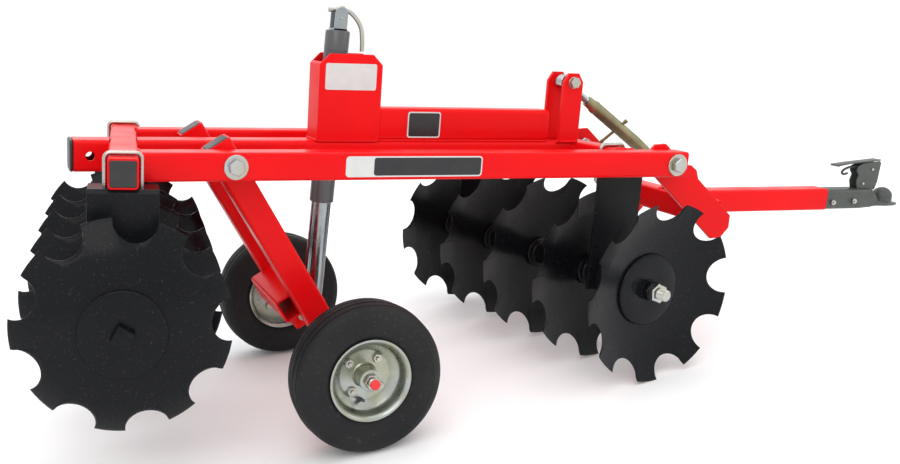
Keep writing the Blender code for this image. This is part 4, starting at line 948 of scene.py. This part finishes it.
def lift_frame():
    inner = ARM - 2 * TUBE_WALL - 0.0006
    caps, beads = [], []
    for name, side in (("right", -1), ("left", 1)):
        place = LIFT @ move(0, side * ARM_Y, 0)
        bm = square_tube(ARM, ARM, TUBE_WALL, at(-ARM_ABOVE), at(REACH + 0.034))
        red(f"look_{name}_arm", bm, "lift_frame", place, [f"{name}_arm"])
        for low, high in ((-ARM_ABOVE - 0.002, -ARM_ABOVE + 0.012), (REACH + 0.022, REACH + 0.036)):
            caps.append(placed(plug(inner, inner, TUBE_WALL, low, high), place))
        collar = side * (ARM_Y + ARM / 2)
        ring_points = [(REACH + 0.026 * math.cos(t), collar, 0.026 * math.sin(t))
                       for t in (2 * math.pi * k / 10 for k in range(10))]
        beads += beads_round(ring_points, 0.0036)
        y = side * (ARM_Y - ARM / 2)
        beads += beads_round([(CROSS_ALONG + u * 0.034, y, -CROSS_SETBACK + v * 0.034) for u, v in SQUARE])
    piece("arm_end_caps", joined(caps), "lift_frame", Matrix(), CAP)

    length = 2 * (ARM_Y - ARM / 2 - GAP)
    bm = square_tube(TUBE, TUBE, TUBE_WALL, at(-length / 2), at(length / 2))
    bm.transform(turn(math.pi / 2, "Z"))
    bm.transform(move(CROSS_ALONG, 0, -CROSS_SETBACK))
    foot = LIFT.inverted() @ LEVEL @ Vector((JACK_FOOT[0], 0, JACK_FOOT[1]))
    gap, lug = JACK_INNER / 2 + 0.004, 0.012
    near = -CROSS_SETBACK + TUBE / 2 - 0.002
    outline = [(CROSS_ALONG - 0.036, near), (CROSS_ALONG + 0.036, near)]
    outline += arc((foot.x, foot.z), 0.03, -20, 160, 16)
    shapes = [bm]
    for side in (-1, 1):
        shapes.append(plate(outline, *between(side, gap, gap + lug)))
        y = side * (gap + lug)
        beads.append(bead((CROSS_ALONG - 0.034, y, near + 0.002), (CROSS_ALONG + 0.034, y, near + 0.002)))
    red("look_cross_tube", joined(shapes), "lift_frame", LIFT, ["cross_tube"], 0.0008)
    red("lift_weld_beads", joined(beads), "lift_frame", LIFT, angle=60)

    outside = gap + lug
    pin = [
        rod(JACK_PIN / 2, -outside - 0.012, outside + 0.012, 0.0015),
        disc(0.019, -outside - 0.006, -outside - 0.001),
        disc(0.019, outside + 0.001, outside + 0.004),
    ]
    zinc("look_jack_foot_pin", joined(pin), "lift_frame", LIFT @ move(foot.x, 0, foot.z), ["jack_foot_pin"])


def jack():
    slant = math.cos(JACK_LEAN)
    top = (JACK_TOP[1] - TRUNNION_HEIGHT) / slant
    bottom = (JACK_OUTER_BOTTOM - TRUNNION_HEIGHT) / slant
    foot = (JACK_FOOT[1] - TRUNNION_HEIGHT) / slant
    outer, inner = JACK_OUTER / 2, JACK_INNER / 2
    bore = outer - 0.0048
    profile = [(0, top), (outer - 0.005, top), (outer - 0.002, top - 0.0015), (outer, top - 0.005),
               (outer, top - 0.058), (outer - 0.0008, top - 0.0588), (outer - 0.0008, top - 0.0602),
               (outer, top - 0.061), (outer, bottom + 0.002), (outer - 0.002, bottom), (bore, bottom),
               (bore, top - 0.012), (0, top - 0.012)]
    shell = placed(lathe(profile, 72), UPRIGHT)
    pin_end = MAST_WIDTH / 2 - 0.0006
    pins = [rod(PIN / 2, outer - 0.003, pin_end), rod(PIN / 2, -pin_end, -outer + 0.003)]
    piece("look_jack_tube", joined([shell] + pins), "jack_barrel", JACK, JACK_GREY,
          ["jack_tube"])

    # The plated head: a folded yoke round the screw's end, with the crank pinned through it
    half, thin, height = 0.0215, 0.004, 0.064
    wall = [(-half + 0.002, top), (half - 0.002, top), (half - 0.002, top + height - 0.01),
            (half - 0.012, top + height), (-half + 0.012, top + height), (-half + 0.002, top + height - 0.01)]
    shapes = [plate(wall, -half, -half + thin), plate(wall, half - thin, half),
              box((-half, -half, top), (half, half, top + 0.005)),
              placed(rod(0.0135, top, top + 0.052), UPRIGHT)]
    piece("jack_head", joined(shapes), "jack_barrel", JACK, BRIGHT, bevel=0.001)
    z = top + 0.057
    hub = [rod(0.0125, -0.02, 0.02, 0.002),
           placed(rod(0.0032, -half - 0.004, half + 0.004), move(0, 0, -0.024))]
    zinc("jack_head_pin", joined(hub), "jack_barrel", JACK @ move(0, 0, z))
    route = smooth_path([(-0.034, 0.001, z - 0.001), (-0.008, 0, z), (0.016, -0.001, z + 0.001),
                         (0.034, -0.005, z - 0.006), (0.052, -0.012, z - 0.024), (0.065, -0.017, z - 0.047),
                         (0.07, -0.021, z - 0.078), (0.0725, -0.022, z - 0.112)], 7)
    zinc("jack_crank", sweep(route, 0.0066, 24), "jack_barrel", JACK, angle=50)

    seat = bore - 0.0008
    profile = [(0, top - 0.225), (seat, top - 0.225), (seat, top - 0.265), (inner, top - 0.275),
               (inner, foot - 0.022), (inner - 0.002, foot - 0.024), (0, foot - 0.024)]
    bm = placed(lathe(profile, 72), UPRIGHT)
    sliding = piece("look_jack_rod", bm, "jack_screw", JACK, BRIGHT, ["jack_rod"])
    cut(sliding, disc(JACK_PIN / 2 + JACK_EYE_SLACK, -0.06, 0.06, 48), JACK @ move(0, 0, foot))


# ---------------------------------------------------------------- tongue, coupler, turnbuckle

def tongue():
    outer = FRAME_WIDTH / 2 - TUBE - 0.003
    dx, dz = YOKE_FOOT[0] - TONGUE_PIVOT[0], YOKE_FOOT[1] - TONGUE_PIVOT[1]
    length = math.hypot(dx, dz) + 0.036
    wide, cut_off = 0.05, 0.026
    outline = [(-wide + cut_off, -wide + 0.006), (length - 0.01, -wide + 0.006),
               (length + 0.016, -wide + 0.006 + cut_off), (length + 0.016, wide - cut_off),
               (length - 0.01, wide + 0.004), (0.15, wide + 0.004), (0.126, wide + 0.018),
               (0.098, wide + 0.016), (0.08, wide), (-wide + cut_off, wide), (-wide, wide - cut_off),
               (-wide, -wide + 0.006 + cut_off)]
    slope = turn(-math.atan2(dz, dx), "Y")
    for name, side in (("right", -1), ("left", 1)):
        low, high = between(side, outer, outer - YOKE_PLATE)
        red(f"look_{name}_yoke_plate", plate(outline, low, high), "tongue", TONGUE @ slope,
            [f"{name}_yoke_plate"], 0.0014)
    half = outer - YOKE_PLATE - GAP
    x = YOKE_FOOT[0] - 0.012 - TONGUE_PIVOT[0]
    z = TONGUE_TOP - TUBE / 2 - TONGUE_PIVOT[1]
    bm = square_tube(TUBE, TUBE, TUBE_WALL, at(-half), at(half))
    bm = placed(bm, move(x, 0, z) @ turn(math.pi / 2, "Z"))
    foot = (TURNBUCKLE_FOOT[0] - TONGUE_PIVOT[0], TURNBUCKLE_FOOT[1] - TONGUE_PIVOT[1])
    base = z + TUBE / 2 - 0.001
    ear = [(x - 0.034, base), (x + 0.036, base)] + arc(foot, 0.019, 0, 180, 18)
    shapes, beads = [bm], []
    for side in (-1, 1):
        shapes.append(plate(ear, *between(side, 0.0125, 0.0225)))
        y = side * 0.0225
        beads.append(bead((x - 0.032, y, base + 0.002), (x + 0.034, y, base + 0.002), 0.0034))
        beads += beads_round([(x + u * 0.034, side * half, z + v * 0.034) for u, v in SQUARE])
    red("look_yoke_cross_tube", joined(shapes), "tongue", TONGUE, ["yoke_cross_tube"], 0.0008)
    start = x + TUBE / 2
    end = TONGUE_FRONT - TONGUE_PIVOT[0]
    bm = square_tube(TUBE, TUBE, TUBE_WALL, at(start + GAP), at(end))
    red("look_tongue_tube", bm, "tongue", TONGUE @ move(0, 0, z), ["tongue_tube"])
    beads += beads_round([(start + 0.001, u * 0.036, z + v * 0.036) for u, v in SQUARE])
    red("tongue_weld_beads", joined(beads), "tongue", TONGUE, angle=60)

    pin = [rod(PIN / 2, -0.034, 0.034, 0.0015), rod(0.0145, -0.0285, -0.0255), rod(0.0145, 0.0255, 0.0285)]
    zinc("look_yoke_pin", joined(pin), "tongue", TONGUE @ move(foot[0], 0, foot[1]), ["yoke_pin"])
    coupler(end, z)


def coupler(start, z):
    """A pressed channel over the tongue's end that narrows to a domed ball socket, with its latch on top.

    Its own X runs forward from the tongue's end."""
    place = TONGUE @ move(start, 0, z)
    stations = [(GAP, 0.0375, -0.036, 0.034), (0.15, 0.0375, -0.036, 0.034), (0.205, 0.0365, -0.033, 0.034),
                (0.224, 0.036, -0.03, 0.016), (0.242, 0.038, -0.028, -0.01), (0.275, 0.041, -0.028, -0.016),
                (0.31, 0.037, -0.028, -0.018), (0.335, 0.026, -0.028, -0.018), (0.347, 0.012, -0.026, -0.019)]
    bm = bmesh.new()
    rows = []
    for (xa, wa, la, ha), (xb, wb, lb, hb) in zip(stations, stations[1:]):
        for k in range(6):
            t = k / 6
            s = t * t * (3 - 2 * t)
            w, low, high = wa + (wb - wa) * s, la + (lb - la) * s, ha + (hb - ha) * s
            section = rounded(2 * w, high - low, min(0.011, w * 0.6, (high - low) * 0.45))
            rows.append(ring(bm, [(xa + (xb - xa) * t, u, v + (high + low) / 2) for u, v in section]))
    x, w, low, high = stations[-1]
    section = rounded(2 * w, high - low, (high - low) * 0.45)
    rows.append(ring(bm, [(x, u, v + (high + low) / 2) for u, v in section]))
    for first, second in zip(rows, rows[1:]):
        bridge(bm, first, second)
    bm.faces.new(rows[0])
    bm.faces.new(rows[-1])
    body = piece("look_coupler", bm, "tongue", place, COUPLER, ["coupler"], angle=45)
    ball = 0.0262
    socket = [(0, 0.06), (ball, 0.06), (ball, -0.002)]
    socket += [(ball * math.cos(t), -0.002 - ball * math.sin(t)) for t in (0.26 * k for k in range(1, 6))]
    socket_x = 0.289
    socket = lathe(socket + [(0, -0.002 - ball)], 48)
    cut(body, socket, place @ move(socket_x, 0, 0) @ turn(-math.pi / 2, "X"))
    dome = [(ball, -0.024), (ball, 0.002)] + arc((0, 0.002), ball, 9, 89.6, 9)
    dome += arc((0, 0.002), ball + 0.0075, 89.7, 6, 12) + [(ball + 0.0082, -0.014), (ball + 0.01, -0.0185)]
    bm = placed(lathe(dome + [(ball + 0.01, -0.024)], 48), UPRIGHT)
    piece("coupler_dome", bm, "tongue", place @ move(socket_x, 0, 0), COUPLER, angle=45)

    # The latch: a folded lever that stands over the channel between two side plates
    side_plate = [(0.152, 0.03), (0.143, 0.06), (0.149, 0.084), (0.138, 0.098), (0.14, 0.114), (0.16, 0.124),
                  (0.236, 0.134), (0.243, 0.127), (0.239, 0.06), (0.23, 0.03)]
    shapes = [plate(side_plate, y - 0.0016, y + 0.0016) for y in (-0.015, 0.015)]
    top = [(0.046, 0.116), (0.049, 0.1215), (0.11, 0.1285), (0.238, 0.14), (0.243, 0.136), (0.11, 0.1245),
           (0.06, 0.1165), (0.052, 0.1135)]
    shapes.append(plate(top, -0.0166, 0.0166))
    hook = smooth_path([(0.15, 0, 0.112), (0.118, 0, 0.11), (0.094, 0, 0.101),
                        (0.087, 0, 0.091), (0.096, 0, 0.085), (0.112, 0, 0.088)])
    shapes.append(sweep(hook, 0.0042, 12))
    piece("coupler_latch", joined(shapes), "tongue", place, COUPLER, bevel=0.0008)
    fittings = []
    for x, height in ((0.024, -0.01), (0.118, -0.006)):
        for side in (-1, 1):
            face = side * 0.0376
            fittings.append(placed(hexagon(0.017, *sorted((face, face + side * 0.009))), move(x, 0, height)))
            fittings.append(placed(threaded(0.0052, *sorted((face + side * 0.008, face + side * 0.014))),
                                   move(x, 0, height)))
    for x, height in ((0.174, 0.052), (0.208, 0.104)):
        fittings.append(placed(rod(0.005, -0.02, 0.02, 0.0012), move(x, 0, height)))
    zinc("coupler_bolts", joined(fittings), "tongue", place)


def turnbuckle():
    span = math.hypot(LINK_X, LINK_Z)
    start, end = 0.105, span - 0.175
    stem = 0.012

    def eye(diameter, hole, width):
        outer, inner, half, ease = diameter / 2, hole / 2, width / 2, 0.0015
        return lathe([(outer - ease, -half), (outer, -half + ease), (outer, half - ease),
                      (outer - ease, half), (inner, half), (inner, -half)], 48)

    length = end - start
    profile = [(0, 0), (0.015, 0), (0.0166, 0.002), (0.0172, 0.022), (0.0194, 0.03), (0.0209, 0.036),
               (0.0209, 0.043), (0.0196, 0.047), (0.0202, 0.052), (0.0207, length - 0.06),
               (0.02, length - 0.05), (0.0182, length - 0.02), (0.0166, length - 0.002), (0.0154, length),
               (0, length)]
    barrel = placed(lathe(profile, 56), move(start, 0, 0) @ LENGTHWISE)
    upper = placed(threaded(stem * 0.92, 0.02, start + 0.004), LENGTHWISE)
    piece("look_turnbuckle_barrel", barrel, "turnbuckle", LINK, OLIVE,
          ["turnbuckle_body"])
    across = move(0.26, 0, 0) @ turn(math.radians(120), "X")
    bars = ((0.005, -0.074, 0.035), (0.0066, -0.0755, -0.063), (0.0066, 0.0255, 0.0365))
    handle = [placed(rod(*bar), across) for bar in bars]
    piece("turnbuckle_handle", joined(handle), "turnbuckle", LINK, OLIVE)
    piece("turnbuckle_upper_eye", joined([eye(0.046, PIN + 0.001, 0.032), upper]), "turnbuckle", LINK, BRIGHT)
    lower = placed(threaded(stem * 0.92, end - 0.02, span - 0.016), LENGTHWISE)
    ring_end = placed(eye(0.04, PIN + 0.0036, 0.023), move(span, 0, 0))
    piece("look_turnbuckle_screw", joined([lower, ring_end]), "turnbuckle_end", LINK, BRIGHT,
          ["turnbuckle_screw"])


def hangers():
    """The hanger plates stay as packed, with their edges eased."""
    for name in ("rear_right", "rear_left", "front_right", "front_left"):
        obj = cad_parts[f"{name}_hanger"]
        obj.data.materials.clear()
        obj.data.materials.append(HANGER)
        weld = obj.modifiers.new("Weld", "WELD")
        weld.merge_threshold = 0.00002
        ease_edges(obj, 0.0012)


# ---------------------------------------------------------------- studio

def studio():
    bm = bmesh.new()
    bmesh.ops.create_grid(bm, x_segments=2, y_segments=2, size=200)
    mesh = bpy.data.meshes.new("floor")
    bm.to_mesh(mesh)
    bm.free()
    floor = bpy.data.objects.new("floor", mesh)
    bpy.context.scene.collection.objects.link(floor)
    paper = bpy.data.materials.new("pale_floor")
    paper.use_nodes = True
    shader = paper.node_tree.nodes["Principled BSDF"]
    shader.inputs["Base Color"].default_value = (0.96, 0.96, 0.96, 1)
    shader.inputs["Roughness"].default_value = 0.85
    shader.inputs["Specular IOR Level"].default_value = 0.1
    mesh.materials.append(paper)

    world = bpy.data.worlds.new("studio")
    bpy.context.scene.world = world
    world.use_nodes = True
    world.node_tree.nodes["Background"].inputs["Color"].default_value = (1.0, 1.0, 1.0, 1)
    world.node_tree.nodes["Background"].inputs["Strength"].default_value = 1.05
    for name, place, aim, size, power, colour in (
        ("key", (-2.4, -3.4, 4.2), (-0.2, 0, 0.4), 3.2, 60, (1.0, 0.98, 0.95)),
        ("sky", (0.0, 0.4, 5.0), (0, 0, 0), 5.0, 90, (0.88, 0.94, 1.0)),
        ("side", (4.0, -2.2, 2.6), (0, 0, 0.5), 2.4, 20, (1.0, 1.0, 1.0)),
        ("back", (-0.2, 4.2, 3.0), (-0.2, 0, 0.5), 3.0, 20, (0.95, 0.97, 1.0)),
    ):
        data = bpy.data.lights.new(name, "AREA")
        data.energy, data.size, data.color = power, size, colour
        lamp = bpy.data.objects.new(name, data)
        lamp.location = place
        lamp.rotation_euler = (Vector(aim) - Vector(place)).to_track_quat("-Z", "Y").to_euler()
        bpy.context.scene.collection.objects.link(lamp)
    bpy.context.scene.view_settings.view_transform = "Standard"


def camera():
    """The photo's viewpoint, in the machine's level axes, with the lens shifted as the photo is cropped."""
    place, focal, shift = (-0.8432, -2.7618, 1.144), 39.3968, (0.1741, 0.003556)
    yaw, pitch, roll = math.radians(17.65), math.radians(-12.382), math.radians(2.368)
    ahead = Vector((math.sin(yaw) * math.cos(pitch), math.cos(yaw) * math.cos(pitch), math.sin(pitch)))
    right = Vector((math.cos(yaw), -math.sin(yaw), 0))
    up = right.cross(ahead)
    across = math.cos(roll) * right + math.sin(roll) * up
    above = -math.sin(roll) * right + math.cos(roll) * up
    data = bpy.data.cameras.new("photo")
    data.sensor_width = 36
    data.lens = focal
    data.shift_x, data.shift_y = shift
    data.clip_start = 0.05
    made = bpy.data.objects.new("photo", data)
    made.matrix_world = level(*place) @ Matrix((across, above, -ahead)).transposed().to_4x4()
    bpy.context.scene.collection.objects.link(made)
    bpy.context.scene.camera = made


tubes()
mast_and_lugs()
frame_welds()
labels()
through_bolts()
u_bolts()
gang("rear", REAR_GANG, "rear_gang", 1, -(0.07 + DISC_DISH), REAR_PHASE)
gang("front", FRONT_GANG, "front_gang", -1, DISC_DISH - FRONT_HANGER, FRONT_PHASE)
wheels()
lift_frame()
jack()
tongue()
turnbuckle()
hangers()
studio()
camera()
